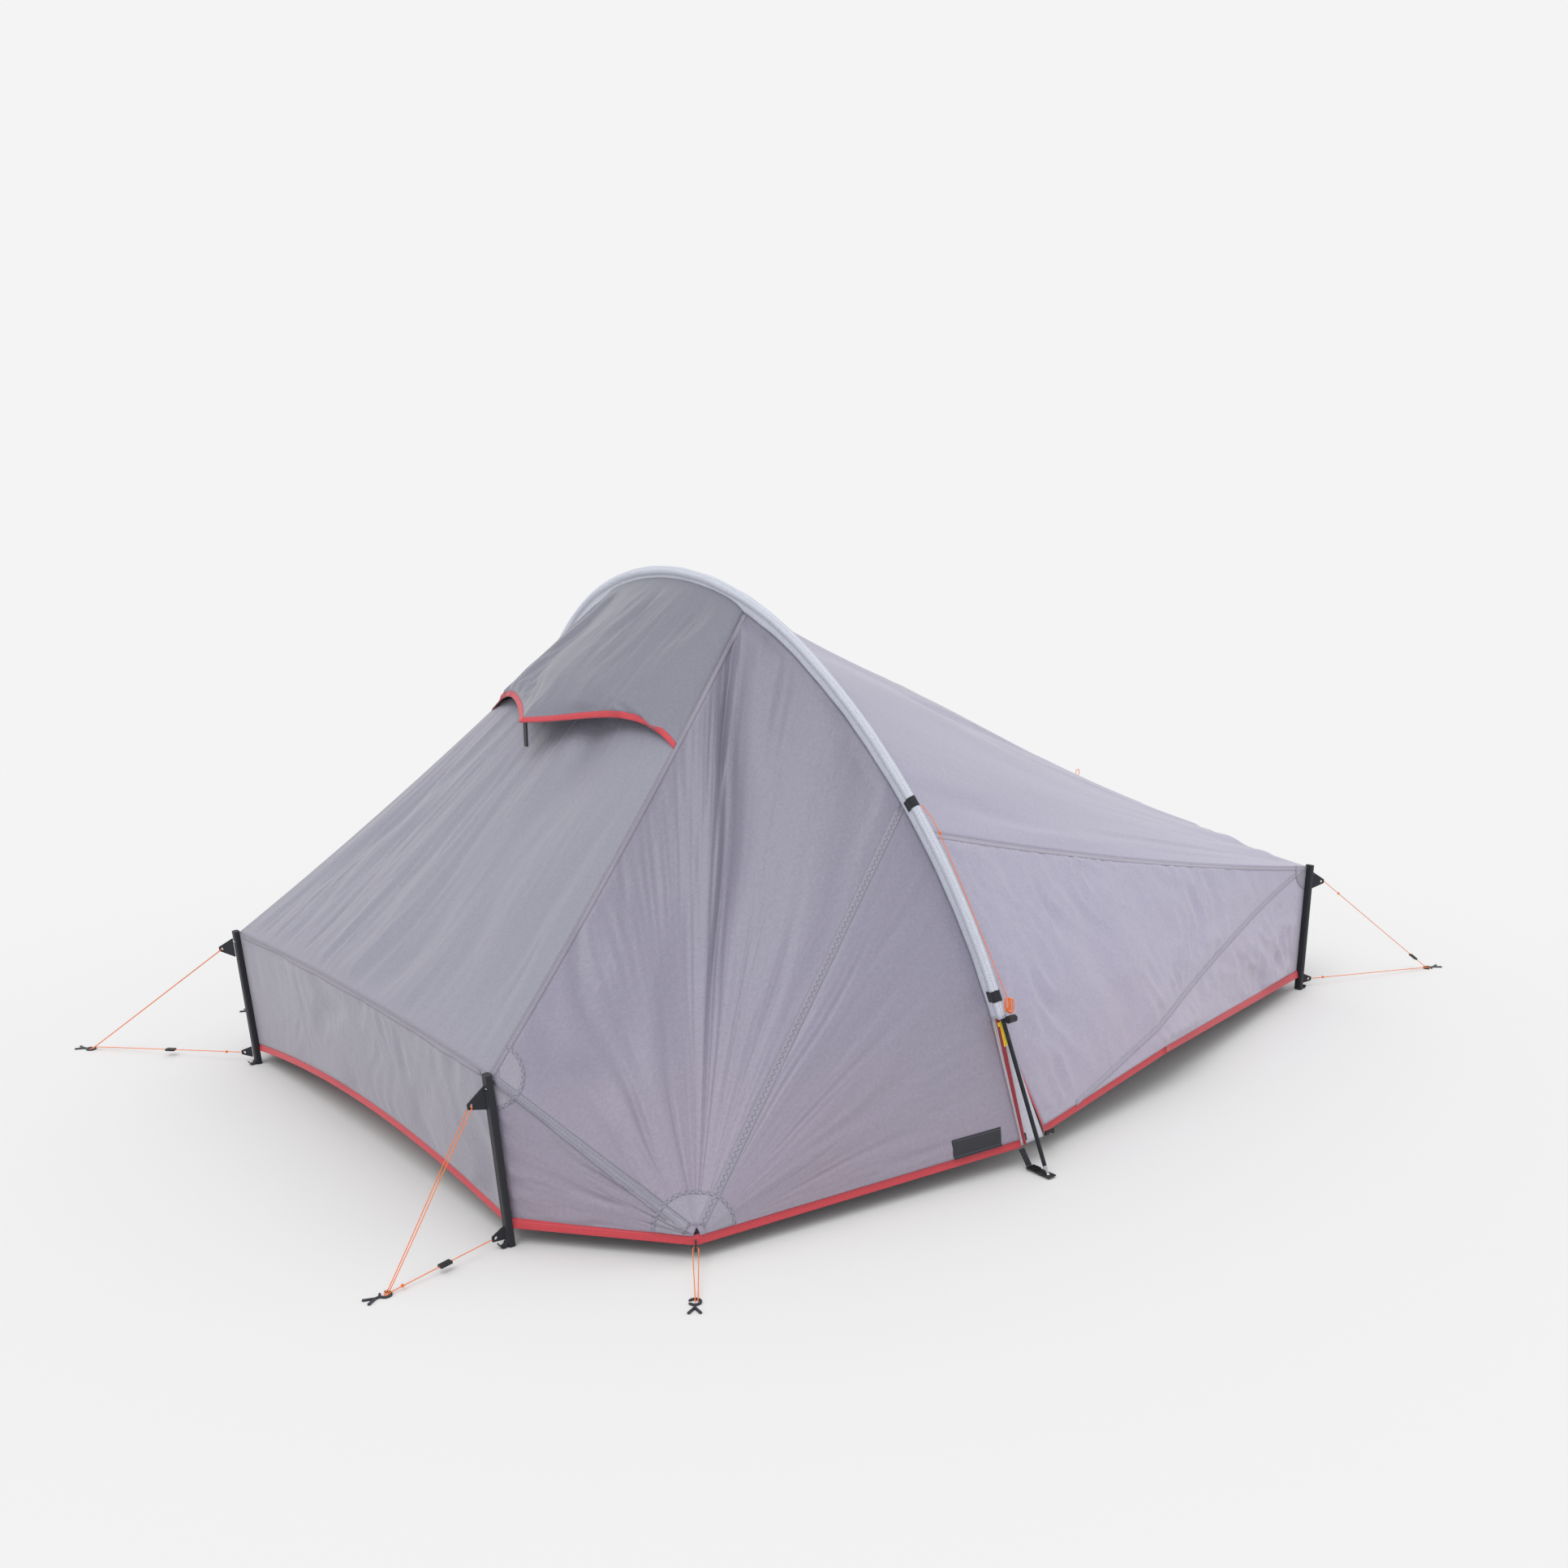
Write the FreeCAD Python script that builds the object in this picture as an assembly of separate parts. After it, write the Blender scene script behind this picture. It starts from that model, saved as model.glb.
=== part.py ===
import FreeCAD, Part
import math
import os
from FreeCAD import Vector

# Two-person trekking tent held up by one long arch pole and four short corner struts.
# Millimetres, +Z up, X along the sleeping length, Y across.  The near door is on the -Y side.

# ---------------------------------------------------------------- driving dimensions
STRUT_SPACING = 2354.0      # between the strut feet, along X
HALF_WIDTH = 629.0          # from the centre line to a strut foot
STRUT_LENGTH = 335.0
STRUT_LEAN = 0.089          # outward run of a strut for each unit of height

ARCH_FOOT_X = -212.0        # where the arch pole stands, along X
ARCH_TILT = 7.9             # degrees that the arch leans towards -X
LEG_LENGTH = 328.0          # straight stretch at each end of the arch
LEG_ANGLE = 14.85           # degrees that each leg leans inwards
SHOULDER_RADIUS = 1260.0
SHOULDER_TURN = 39.9        # degrees
CROWN_RADIUS = 815.0

POLE_DIAMETER = 8.5
POLE_WALL = 0.8
POLE_SECTIONS = 8
FERRULE_LENGTH = 80.0
FERRULE_CLEARANCE = 0.1
FERRULE_BORE = 4.4
SHOCK_CORD_DIAMETER = 2.5
TIP_BALL_DIAMETER = 9.0
TIP_NECK_DIAMETER = 5.4
TIP_LENGTH = 24.0

ROD_DIAMETER = 7.0
CAP_DIAMETER = 9.0
CAP_LENGTH = 16.0
CAP_WALL = 2.0
STRUT_SLEEVE_WIDTH = 20.0
STRUT_SLEEVE_DEPTH = 14.0
STRUT_SLEEVE_BORE = 10.0
STRUT_SLEEVE_END = 4.0
TAB_THICKNESS = 3.0
TAB_EYE_DIAMETER = 7.0
TAB_EYE_INSET = 8.0         # from a tab's tip to its eye
TAB_TIP_SHARE = 0.42        # how far up a tab's root its tip stands
TAB_TIP_HALF = 5.0
TAB_CLEARANCE = 0.3
TOP_TAB_REACH = 40.0
TOP_TAB_HEIGHT = 46.0
TOP_TAB_DROP = 18.0         # from the strut top down to the tab
BOTTOM_TAB_REACH = 28.0
BOTTOM_TAB_HEIGHT = 26.0
BOTTOM_TAB_LEVEL = 16.0
FOOT_STRAP_WIDTH = 15.0
FOOT_STRAP_THICKNESS = 1.6

FABRIC = 2.0                # thickness that a fabric panel is given
SEAM_GAP = 1.5              # from a panel's edge to its seam line
HEM_HEIGHT = 32.0           # hem above the ground at the struts
HEM_BINDING = 17.0          # height of the red tape round the hem
BINDING_THICKNESS = 3.5
BINDING_GAP = 1.0
END_HEM_RISE = 46.0
LEFT_EAVE_RISE = 15.0
RIGHT_EAVE_RISE = 95.0
SEAM_SAG = 20.0
STRUT_CLEARANCE = 13.0      # from a strut's axis to a panel's edge

SLEEVE_OUTER = 18.0         # fabric tunnel round the arch pole
SLEEVE_INNER = 12.0
SLEEVE_FIN = 27.0           # from the pole's axis to the tunnel's inner edge
SLEEVE_FIN_THICKNESS = 2.0
SLEEVE_START = 330.0        # along the arch, from the foot to the tunnel's mouth
PANEL_EDGE = 29.0           # from the pole's axis to the panels sewn beside the tunnel
PANEL_SIDE = 4.0            # from the arch's plane to those panels
DOOR_SIDE = 9.0             # from the arch's plane to the door's zip edge

SEAM_TOP_S = 1410.0         # along the arch: roof seam, side seam, eave seam, zip top
SIDE_SEAM_S = 800.0
EAVE_S = 735.0
BAND_HIGH_S = 790.0
BAND_LOW_S = 375.0
BAND_LENGTH = 22.0
BAND_THICKNESS = 1.6
BAND_CLEARANCE = 0.4

MIDDLE_HEM_X = -952.0       # where the side wall is pegged out between strut and arch
MIDDLE_HEM_Y = 899.0
MIDDLE_HEM_Z = 30.0
ARCH_HEM_Y = 978.0          # foot of the wall behind the arch pole
ARCH_HEM_Z = 42.0
DOOR_HEM_X = -132.0         # free lower corner of the door
DOOR_HEM_Y = 956.0
DOOR_FOLD_X = 340.0         # where the door's fold line meets the hem
DOOR_FOLD_Y = 880.0
DOOR_FOLD_Z = 84.0
FOLD_GAP = 6.0

HOOD_END_SHARE = 0.68       # how far up the roof seam the vent hood's free edge ends
HOOD_END_LIFT = 18.0
HOOD_REACH = 140.0          # from the hood's hinge line out to its lip
HOOD_BULGE_Z = 104.0        # how far the hood stands above its hinge line, in the middle
HOOD_GAP = 4.0
VENT_SHARE = 0.62           # share of the left roof that is cloth, the rest is netting
PROP_LENGTH = 56.0
PROP_WIDTH = 12.0
PROP_THICKNESS = 4.0

LABEL_LENGTH = 122.0
LABEL_HEIGHT = 42.0
LABEL_THICKNESS = 1.2
LABEL_FROM_ARCH = 46.0      # from the wall's corner to the label, along the hem

CORD_DIAMETER = 1.8
ANCHOR_THICKNESS = 3.0
ANCHOR_RING_OUTER = 24.0
ANCHOR_RING_INNER = 16.0
ANCHOR_LENGTH = 46.0
ANCHOR_BAR = 4.5
ANCHOR_MOUTH = 9.0
PEG_LEFT_FAR = (285.0, 371.0)         # from a strut's foot out to its hook, along and across
PEG_LEFT_NEAR = (259.0, 33.0)
PEG_RIGHT = (423.0, 116.0)
PEG_MIDDLE = (-88.0, -123.0)          # from the side wall's pegged hem to its hook
CORD_CLEARANCE = 0.35
STRAND_GAP = 5.0            # between the strands that share an anchor's ring
EYE_SPREAD = 5.4            # from a tab's middle to the cord beside it
EYE_CLEAR = 12.0
TAB_TIP = 9.0               # from a tab's eye to where a tied cord leaves it
RIDGE_LOOP_SHARE = 0.87     # of the way from the arch to the right end wall
LOWER_ADJUSTER_SHARE = 0.52
UPPER_ADJUSTER_SHARE = 0.12

ADJUSTER_LENGTH = 24.0
ADJUSTER_WIDTH = 12.0
ADJUSTER_HEIGHT = 5.0

MIDDLE_TAB_REACH = 24.0
MIDDLE_TAB_LEVEL = 7.0      # of the middle tab's eye above the hem

LOCK_DIAMETER = 15.0
LOCK_LENGTH = 20.0
LOCK_BORE = 9.0
LOCK_EYE = 4.5
BUTTON_DIAMETER = 8.6
BUTTON_TRAVEL = 3.5
HANK_GAP = 0.6              # from the end of the arch guy to its coiled hank
HANK_LENGTH = 34.0
HANK_WIDTH = 13.0
HANK_S = 352.0
HANK_RADIAL = 20.0
HANK_SIDE = 9.0

SLIDER_WIDTH = 9.0
SLIDER_LENGTH = 14.0
SLIDER_HEIGHT = 5.0
ZIP_WIDTH = 12.0

FOOT_PLATE_WIDTH = 20.0
FOOT_PLATE_LENGTH = 40.0
FOOT_PLATE_THICKNESS = 3.0
FOOT_PLATE_LEVEL = 3.0
EYELET_CLEARANCE = 0.5
BUCKLE_LENGTH = 20.0
BUCKLE_WIDTH = 22.0
BUCKLE_THICKNESS = 4.0
WEBBING_WIDTH = 14.0
WEBBING_THICKNESS = 1.6
HOOK_LENGTH = 24.0

FLOOR_HALF_LENGTH = 1075.0
FLOOR_HALF_WIDTH = 560.0
FLOOR_THICKNESS = 2.0
TUB_HEIGHT = 110.0
TUB_LEAN = 18.0
INNER_OFFSET = 70.0         # from the arch pole to the inner tent
INNER_CREST_S = 1180.0      # along the arch, where the inner tent starts to hang from it

GROUND_SIZE = 6000.0

# ---------------------------------------------------------------- worked out from them
SHOULDER_ARC = SHOULDER_RADIUS * math.radians(SHOULDER_TURN)
CROWN_TURN = 90.0 - LEG_ANGLE - SHOULDER_TURN
CROWN_ARC = CROWN_RADIUS * math.radians(CROWN_TURN)
HALF_ARCH = LEG_LENGTH + SHOULDER_ARC + CROWN_ARC
SHOULDER_ANGLE = LEG_ANGLE + SHOULDER_TURN
LEG_TURN = math.radians(LEG_ANGLE)
CROWN_START = math.radians(SHOULDER_ANGLE)
HALF_SPAN = (LEG_LENGTH * math.sin(LEG_TURN) + CROWN_RADIUS * math.cos(CROWN_START)
             + SHOULDER_RADIUS * (math.cos(LEG_TURN) - math.cos(CROWN_START)))
CORNERS = {"a": (-1, 1), "b": (-1, -1), "c": (1, -1), "d": (1, 1)}
PEG_RUNS = {"a": PEG_LEFT_FAR, "b": PEG_LEFT_NEAR, "c": PEG_RIGHT, "d": PEG_RIGHT}
PEGS = {c: (CORNERS[c][0] * (STRUT_SPACING / 2 + run), CORNERS[c][1] * (HALF_WIDTH + aside))
        for c, (run, aside) in PEG_RUNS.items()}
TILT = math.radians(ARCH_TILT)
ARCH_NORMAL = Vector(math.cos(TILT), 0, math.sin(TILT))
NODES = {}
CORD_RADII = {}
SLIDES = {}


# ---------------------------------------------------------------- small helpers
def lerp(a, b, t):
    return a + (b - a) * t


def mirrored(shape):
    return shape.mirror(Vector(0, 0, 0), Vector(0, 1, 0))


def both_sides(shape):
    return [shape, mirrored(shape)]


def save(name, shapes):
    NODES[name] = Part.makeCompound(list(shapes)) if len(shapes) > 1 else shapes[0]


def above_ground(shape):
    slab = Part.makeBox(GROUND_SIZE, GROUND_SIZE, 100, Vector(-GROUND_SIZE / 2, -GROUND_SIZE / 2, -100))
    return shape.cut(slab)


def triangle(a, b, c):
    if (b - a).cross(c - a).Length < 1e-4:
        return None
    return Part.Face(Part.makePolygon([a, b, c, a]))


def grid_normals(rows):
    last_row, last_col = len(rows) - 1, len(rows[0]) - 1
    normals = []
    for i in range(last_row + 1):
        line = []
        for j in range(last_col + 1):
            along = rows[min(i + 1, last_row)][j] - rows[max(i - 1, 0)][j]
            across = rows[i][min(j + 1, last_col)] - rows[i][max(j - 1, 0)]
            line.append(along.cross(across).normalize())
        normals.append(line)
    return normals


def sheet(rows, thickness):
    """Thin closed solid over a grid of points, half its thickness to each side of them."""
    normals = grid_normals(rows)
    over = [[p + n * (thickness / 2) for p, n in zip(r, m)] for r, m in zip(rows, normals)]
    under = [[p - n * (thickness / 2) for p, n in zip(r, m)] for r, m in zip(rows, normals)]
    faces = []
    for i in range(len(rows) - 1):
        for j in range(len(rows[0]) - 1):
            for skin in (over, under):
                a, b, c, d = skin[i][j], skin[i][j + 1], skin[i + 1][j + 1], skin[i + 1][j]
                faces += [triangle(a, b, c), triangle(a, c, d)]
    rim = [(0, j) for j in range(len(rows[0]) - 1)]
    rim += [(i, len(rows[0]) - 1) for i in range(len(rows) - 1)]
    rim += [(len(rows) - 1, j) for j in range(len(rows[0]) - 1, 0, -1)]
    rim += [(i, 0) for i in range(len(rows) - 1, 0, -1)]
    for (i, j), (k, m) in zip(rim, rim[1:] + rim[:1]):
        a, b, c, d = over[i][j], over[k][m], under[k][m], under[i][j]
        faces += [triangle(a, b, c), triangle(a, c, d)]
    shell = Part.makeShell([f for f in faces if f])
    shell.sewShape()
    solid = Part.makeSolid(shell)
    if solid.Volume < 0:
        solid.reverse()
    return solid


def drawn_in(rows, gap):
    """The same grid with its four edges moved inwards by a gap."""
    out = [[Vector(p) for p in r] for r in rows]
    for line in (out, list(zip(*out))):
        for end, beside in ((0, 1), (-1, -2)):
            for p, q in zip(line[end], line[beside]):
                step = q - p
                move = min(gap, 0.3 * step.Length)
                shift = step.normalize() * move
                p.x, p.y, p.z = p.x + shift.x, p.y + shift.y, p.z + shift.z
    return out


def panel(rows, thickness=FABRIC, gap=SEAM_GAP):
    return sheet(drawn_in(rows, gap), thickness)


def ruled(edge_a, edge_b, steps, sag=None):
    """Grid between two edges that have the same number of points."""
    rows = []
    for i in range(steps + 1):
        t = i / steps
        row = [lerp(a, b, t) for a, b in zip(edge_a, edge_b)]
        if sag:
            row = [p + sag * (4 * t * (1 - t)) for p in row]
        rows.append(row)
    return rows


def fan(apex, edge, steps=4, start=0.04):
    """Grid from a point out to an edge, its tip cut off a little short of the point."""
    near = [lerp(apex, p, start) for p in edge]
    return ruled(near, edge, steps)


def straight(a, b, count):
    return [lerp(a, b, i / (count - 1)) for i in range(count)]


def cord_tube(name, points, diameter=CORD_DIAMETER):
    """Round cord of straight runs joined by tangent arcs."""
    edges, radii, here = [], [], points[0]
    for before, corner, after in zip(points, points[1:], points[2:]):
        d0, d1 = corner - before, after - corner
        half = d0.getAngle(d1) / 2
        setback = 0.45 * min(d0.Length, d1.Length)
        radii.append(setback / math.tan(half))
        a, b = corner - d0.normalize() * setback, corner + d1.normalize() * setback
        towards = (a + b) * 0.5 - corner
        sagitta = radii[-1] / math.cos(half) - radii[-1]
        middle = corner + towards.normalize() * sagitta
        edges.append(Part.LineSegment(here, a).toShape())
        edges.append(Part.Arc(a, middle, b).toShape())
        here = b
    edges.append(Part.LineSegment(here, points[-1]).toShape())
    wire = Part.Wire(edges)
    first = (points[1] - points[0]).normalize()
    ring = Part.Wire(Part.makeCircle(diameter / 2, points[0], first))
    tube = wire.makePipeShell([ring], True, False)
    share = tube.Volume / (math.pi * diameter ** 2 / 4 * wire.Length)
    CORD_RADII[name] = (round(wire.Length, 1), round(min(radii), 1), round(share, 4))
    return tube


# ---------------------------------------------------------------- the arch
def arch_station(s):
    """Place along the arch from the near foot: y, height in its plane, angle from upright."""
    if s > HALF_ARCH:
        y, h, angle = arch_station(2 * HALF_ARCH - s)
        return -y, h, math.pi - angle
    leg = math.radians(LEG_ANGLE)
    run = min(s, LEG_LENGTH)
    y, h, angle = -HALF_SPAN + run * math.sin(leg), run * math.cos(leg), leg
    for radius, length, begin in ((SHOULDER_RADIUS, SHOULDER_ARC, LEG_LENGTH),
                                  (CROWN_RADIUS, CROWN_ARC, LEG_LENGTH + SHOULDER_ARC)):
        run = min(max(s - begin, 0), length)
        turned = angle + run / radius
        y += radius * (math.cos(angle) - math.cos(turned))
        h += radius * (math.sin(turned) - math.sin(angle))
        angle = turned
    return y, h, angle


def arch_point(s, radial=0.0, side=0.0):
    """Point beside the arch: radial is outwards in its plane, side is towards +X."""
    y, h, angle = arch_station(s)
    y -= radial * math.cos(angle)
    h += radial * math.sin(angle)
    flat = Vector(ARCH_FOOT_X - h * math.sin(TILT), y, h * math.cos(TILT))
    return flat + ARCH_NORMAL * side


def arch_direction(s):
    angle = arch_station(s)[2]
    return Vector(-math.cos(angle) * math.sin(TILT), math.sin(angle), math.cos(angle) * math.cos(TILT))


def arch_line(s0, s1, count, radial=0.0, side=0.0):
    return [arch_point(lerp(s0, s1, i / (count - 1)), radial, side) for i in range(count)]


def arch_sweep(make_face, s0, s1):
    """Sweep a face along the arch, one exact piece for each line or arc of it."""
    crown = LEG_LENGTH + SHOULDER_ARC
    spans = [(0, LEG_LENGTH, None), (LEG_LENGTH, crown, SHOULDER_RADIUS),
             (crown, 2 * HALF_ARCH - crown, CROWN_RADIUS),
             (2 * HALF_ARCH - crown, 2 * HALF_ARCH - LEG_LENGTH, SHOULDER_RADIUS),
             (2 * HALF_ARCH - LEG_LENGTH, 2 * HALF_ARCH, None)]
    pieces = []
    for begin, end, radius in spans:
        a, b = max(s0, begin), min(s1, end)
        if b - a < 1e-6:
            continue
        face = make_face(a)
        if radius is None:
            pieces.append(face.extrude(arch_direction(a) * (b - a)))
        else:
            turn = math.degrees((b - a) / radius)
            pieces.append(face.revolve(arch_point(a, -radius), ARCH_NORMAL * -1, turn))
    if len(pieces) == 1:
        return pieces[0]
    return pieces[0].multiFuse(pieces[1:]).removeSplitter()


def disc(s, diameter):
    return Part.Face(Part.Wire(Part.makeCircle(diameter / 2, arch_point(s), arch_direction(s))))


def ring(s, outer, inner):
    return disc(s, outer).cut(disc(s, inner))


def flat_face(s, outline):
    points = [arch_point(s, radial, side) for radial, side in outline]
    return Part.Face(Part.makePolygon(points + points[:1]))


def arch_pole():
    section = (2 * HALF_ARCH - 2 * TIP_LENGTH) / POLE_SECTIONS
    joints = [TIP_LENGTH + i * section for i in range(POLE_SECTIONS + 1)]
    bore = POLE_DIAMETER - 2 * POLE_WALL
    save("arch_pole_sections", [arch_sweep(lambda s: ring(s, POLE_DIAMETER, bore), a, b)
                                for a, b in zip(joints, joints[1:])])
    insert = bore - 2 * FERRULE_CLEARANCE
    save("arch_pole_ferrules", [arch_sweep(lambda s: ring(s, insert, FERRULE_BORE),
                                           j - FERRULE_LENGTH / 2, j + FERRULE_LENGTH / 2)
                                for j in joints[1:-1]])
    save("arch_shock_cord", [arch_sweep(lambda s: disc(s, SHOCK_CORD_DIAMETER), TIP_LENGTH,
                                        2 * HALF_ARCH - TIP_LENGTH)])
    save("arch_pole_tips", [above_ground(t) for t in both_sides(pole_tip(bore))])


def pole_tip(bore):
    along = arch_direction(0)
    ball = TIP_BALL_DIAMETER / 2
    centre = arch_point(0) + Vector(0, 0, ball)
    tip = Part.makeSphere(ball, centre)
    tip = tip.fuse(Part.makeCylinder(TIP_NECK_DIAMETER / 2, TIP_LENGTH - 8, centre, along))
    collar_start = arch_point(TIP_LENGTH - 8)
    tip = tip.fuse(Part.makeCylinder(POLE_DIAMETER / 2, 8, collar_start, along))
    return tip.removeSplitter()


def pole_sleeve():
    half_fin = SLEEVE_FIN_THICKNESS / 2

    def outline(s):
        fin = flat_face(s, [(-SLEEVE_INNER / 2 - 1, half_fin), (-SLEEVE_INNER / 2 - 1, -half_fin),
                            (-SLEEVE_FIN, -half_fin), (-SLEEVE_FIN, half_fin)])
        return ring(s, SLEEVE_OUTER, SLEEVE_INNER).fuse(fin).removeSplitter().Faces[0]

    tunnel = arch_sweep(outline, SLEEVE_START, 2 * HALF_ARCH - SLEEVE_START)
    top = [arch_point(SLEEVE_START - 2, -SLEEVE_FIN), arch_point(SLEEVE_START - 2, -SLEEVE_OUTER / 2)]
    low = [arch_foot_hem(), arch_foot_hem() + Vector(0, -SLEEVE_OUTER, 0)]
    tails = both_sides(sheet(ruled(top, low, 2), SLEEVE_FIN_THICKNESS))
    save("pole_sleeve", [tunnel] + tails)


def arch_foot_hem():
    """Hem point below the tunnel's mouth, in the arch's plane."""
    return Vector(ARCH_FOOT_X - ARCH_HEM_Z * math.tan(TILT), -ARCH_HEM_Y, ARCH_HEM_Z)


def sleeve_bands():
    inner = SLEEVE_OUTER + 2 * BAND_CLEARANCE
    outer = inner + 2 * BAND_THICKNESS
    bands = []
    for s in (BAND_HIGH_S, BAND_LOW_S):
        band = arch_sweep(lambda q: ring(q, outer, inner), s - BAND_LENGTH / 2, s + BAND_LENGTH / 2)
        slot = arch_sweep(lambda q: flat_face(q, [(-6, 2.2), (-6, -2.2), (-20, -2.2), (-20, 2.2)]),
                          s - BAND_LENGTH, s + BAND_LENGTH)
        bands += both_sides(band.cut(slot))
    save("sleeve_bands", bands)


def yellow_straps():
    start = SLEEVE_START - 8
    bar = [arch_point(start, -8, 9), arch_point(start, -8, -9)]
    bar_low = [arch_point(start - 8, -8, 9), arch_point(start - 8, -8, -9)]
    tail = [arch_point(start - 9, -8, 5), arch_point(start - 9, -8, -5)]
    tail_low = [arch_point(start - 50, -12, 5), arch_point(start - 50, -12, -5)]
    straps = [sheet(ruled(bar, bar_low, 1), 1.6), sheet(ruled(tail, tail_low, 1), 1.6)]
    save("yellow_straps", [side for s in straps for side in both_sides(s)])


# ---------------------------------------------------------------- corner struts
def strut_point(corner, height, inset_x=0.0, inset_y=0.0):
    sx, sy = CORNERS[corner]
    out = STRUT_SPACING / 2 + STRUT_LEAN * height
    return Vector(sx * (out - inset_x), sy * (HALF_WIDTH - inset_y), height)


def at_corner(shape, corner):
    """Place a shape drawn round the strut's axis, its +X outwards, at one corner."""
    sx, sy = CORNERS[corner]
    placed = shape.copy()
    placed.rotate(Vector(0, 0, 0), Vector(0, 1, 0), math.degrees(math.atan(STRUT_LEAN)))
    placed.translate(Vector(STRUT_SPACING / 2, -HALF_WIDTH, 0))
    if sx < 0:
        placed = placed.mirror(Vector(0, 0, 0), Vector(1, 0, 0))
    if sy > 0:
        placed = mirrored(placed)
    return placed


def at_all_corners(name, shape):
    save(name, [above_ground(at_corner(shape, corner)) for corner in CORNERS])


def corner_struts():
    rod_start = STRUT_SLEEVE_END + CAP_WALL + 1
    rod_end = STRUT_LENGTH - STRUT_SLEEVE_END - CAP_WALL - 1
    rod = Part.makeCylinder(ROD_DIAMETER / 2, rod_end - rod_start, Vector(0, 0, rod_start))
    at_all_corners("corner_rods", rod)
    cup = Part.makeCylinder(CAP_DIAMETER / 2, CAP_LENGTH).cut(
        Part.makeCylinder(ROD_DIAMETER / 2 + FERRULE_CLEARANCE, CAP_LENGTH, Vector(0, 0, CAP_WALL)))
    low = cup.copy()
    low.translate(Vector(0, 0, rod_start - CAP_WALL - 0.2))
    high = cup.mirror(Vector(0, 0, 0), Vector(0, 0, 1))
    high.translate(Vector(0, 0, rod_end + CAP_WALL + 0.2))
    save("corner_rod_caps", [at_corner(c, corner) for corner in CORNERS for c in (low, high)])

    body = Part.makeBox(STRUT_SLEEVE_DEPTH, STRUT_SLEEVE_WIDTH, STRUT_LENGTH + 5,
                        Vector(-STRUT_SLEEVE_DEPTH / 2, -STRUT_SLEEVE_WIDTH / 2, -5))
    upright = [e for e in body.Edges if abs(e.Vertexes[0].Z - e.Vertexes[1].Z) > 1]
    body = body.makeFillet(STRUT_SLEEVE_DEPTH * 0.3, upright)
    hollow = Part.makeCylinder(STRUT_SLEEVE_BORE / 2, STRUT_LENGTH - 2 * STRUT_SLEEVE_END,
                               Vector(0, 0, STRUT_SLEEVE_END))
    at_all_corners("corner_sleeves", body.cut(hollow))


def pull_yaw(corner):
    """Angle of a corner's guy line from straight outwards, in the frame of corner c."""
    sx, sy = CORNERS[corner]
    along = (PEGS[corner][0] - sx * STRUT_SPACING / 2) * sx
    aside = (PEGS[corner][1] - sy * HALF_WIDTH) * -sy
    return math.atan2(aside, along)


def tab_frame(corner):
    """Direction of a tab from the strut's axis, and its distance from that axis."""
    yaw = pull_yaw(corner)
    reach = STRUT_SLEEVE_DEPTH / 2 * abs(math.cos(yaw)) + STRUT_SLEEVE_WIDTH / 2 * abs(math.sin(yaw))
    return Vector(math.cos(yaw), math.sin(yaw), 0), reach + TAB_CLEARANCE


def tab_eye(corner, tab):
    """Place of a tab's eye, and its normal, beside an upright strut."""
    reach, height, level = tab
    out, root = tab_frame(corner)
    return out * (root + reach - TAB_EYE_INSET) + Vector(0, 0, level + height * TAB_TIP_SHARE)


def tab_plate(corner, tab):
    """Triangular folded webbing tab with an eye near its tip."""
    reach, height, level = tab
    out, root = tab_frame(corner)
    across = Vector(-out.y, out.x, 0)
    tip = out * (root + reach) + Vector(0, 0, level + height * TAB_TIP_SHARE)
    outline = [out * root + Vector(0, 0, level), out * root + Vector(0, 0, level + height),
               tip + Vector(0, 0, TAB_TIP_HALF), tip - Vector(0, 0, TAB_TIP_HALF)]
    plate = Part.Face(Part.makePolygon(outline + outline[:1])).extrude(across * TAB_THICKNESS)
    plate.translate(across * (-TAB_THICKNESS / 2))
    eye = Part.makeCylinder(TAB_EYE_DIAMETER / 2, TAB_THICKNESS * 3,
                            tab_eye(corner, tab) - across * (TAB_THICKNESS * 1.5), across)
    return plate.cut(eye)


TOP_TAB = (TOP_TAB_REACH, TOP_TAB_HEIGHT, STRUT_LENGTH - TOP_TAB_DROP - TOP_TAB_HEIGHT)
BOTTOM_TAB = (BOTTOM_TAB_REACH, BOTTOM_TAB_HEIGHT, BOTTOM_TAB_LEVEL)


def corner_tabs():
    tabs = [at_corner(tab_plate(c, tab), c) for tab in (TOP_TAB, BOTTOM_TAB) for c in CORNERS]
    tabs += both_sides(middle_tab())
    curl = Part.makeCylinder(6 + FOOT_STRAP_THICKNESS, FOOT_STRAP_WIDTH).cut(
        Part.makeCylinder(6, FOOT_STRAP_WIDTH))
    keep = Part.makeBox(20, 9, FOOT_STRAP_WIDTH, Vector(-10, -9, 0))
    curl = curl.common(keep)
    curl.rotate(Vector(0, 0, 0), Vector(1, 0, 0), 90)
    radius = 6 + FOOT_STRAP_THICKNESS
    out = STRUT_SLEEVE_DEPTH / 2 + TAB_CLEARANCE + radius
    curl.translate(Vector(out, FOOT_STRAP_WIDTH / 2, radius + 2))
    tabs += [above_ground(at_corner(curl, corner)) for corner in CORNERS]
    save("webbing_tabs", tabs)


def middle_frame():
    """Unit vectors from the middle of the side hem out towards its anchor, and across."""
    out = Vector(PEG_MIDDLE[0], PEG_MIDDLE[1], 0).normalize()
    return out, Vector(-out.y, out.x, 0)


def middle_eye():
    out, across = middle_frame()
    return MIDDLE_HEM + out * (BINDING_THICKNESS + MIDDLE_TAB_REACH - 6) + Vector(0, 0, MIDDLE_TAB_LEVEL)


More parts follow.
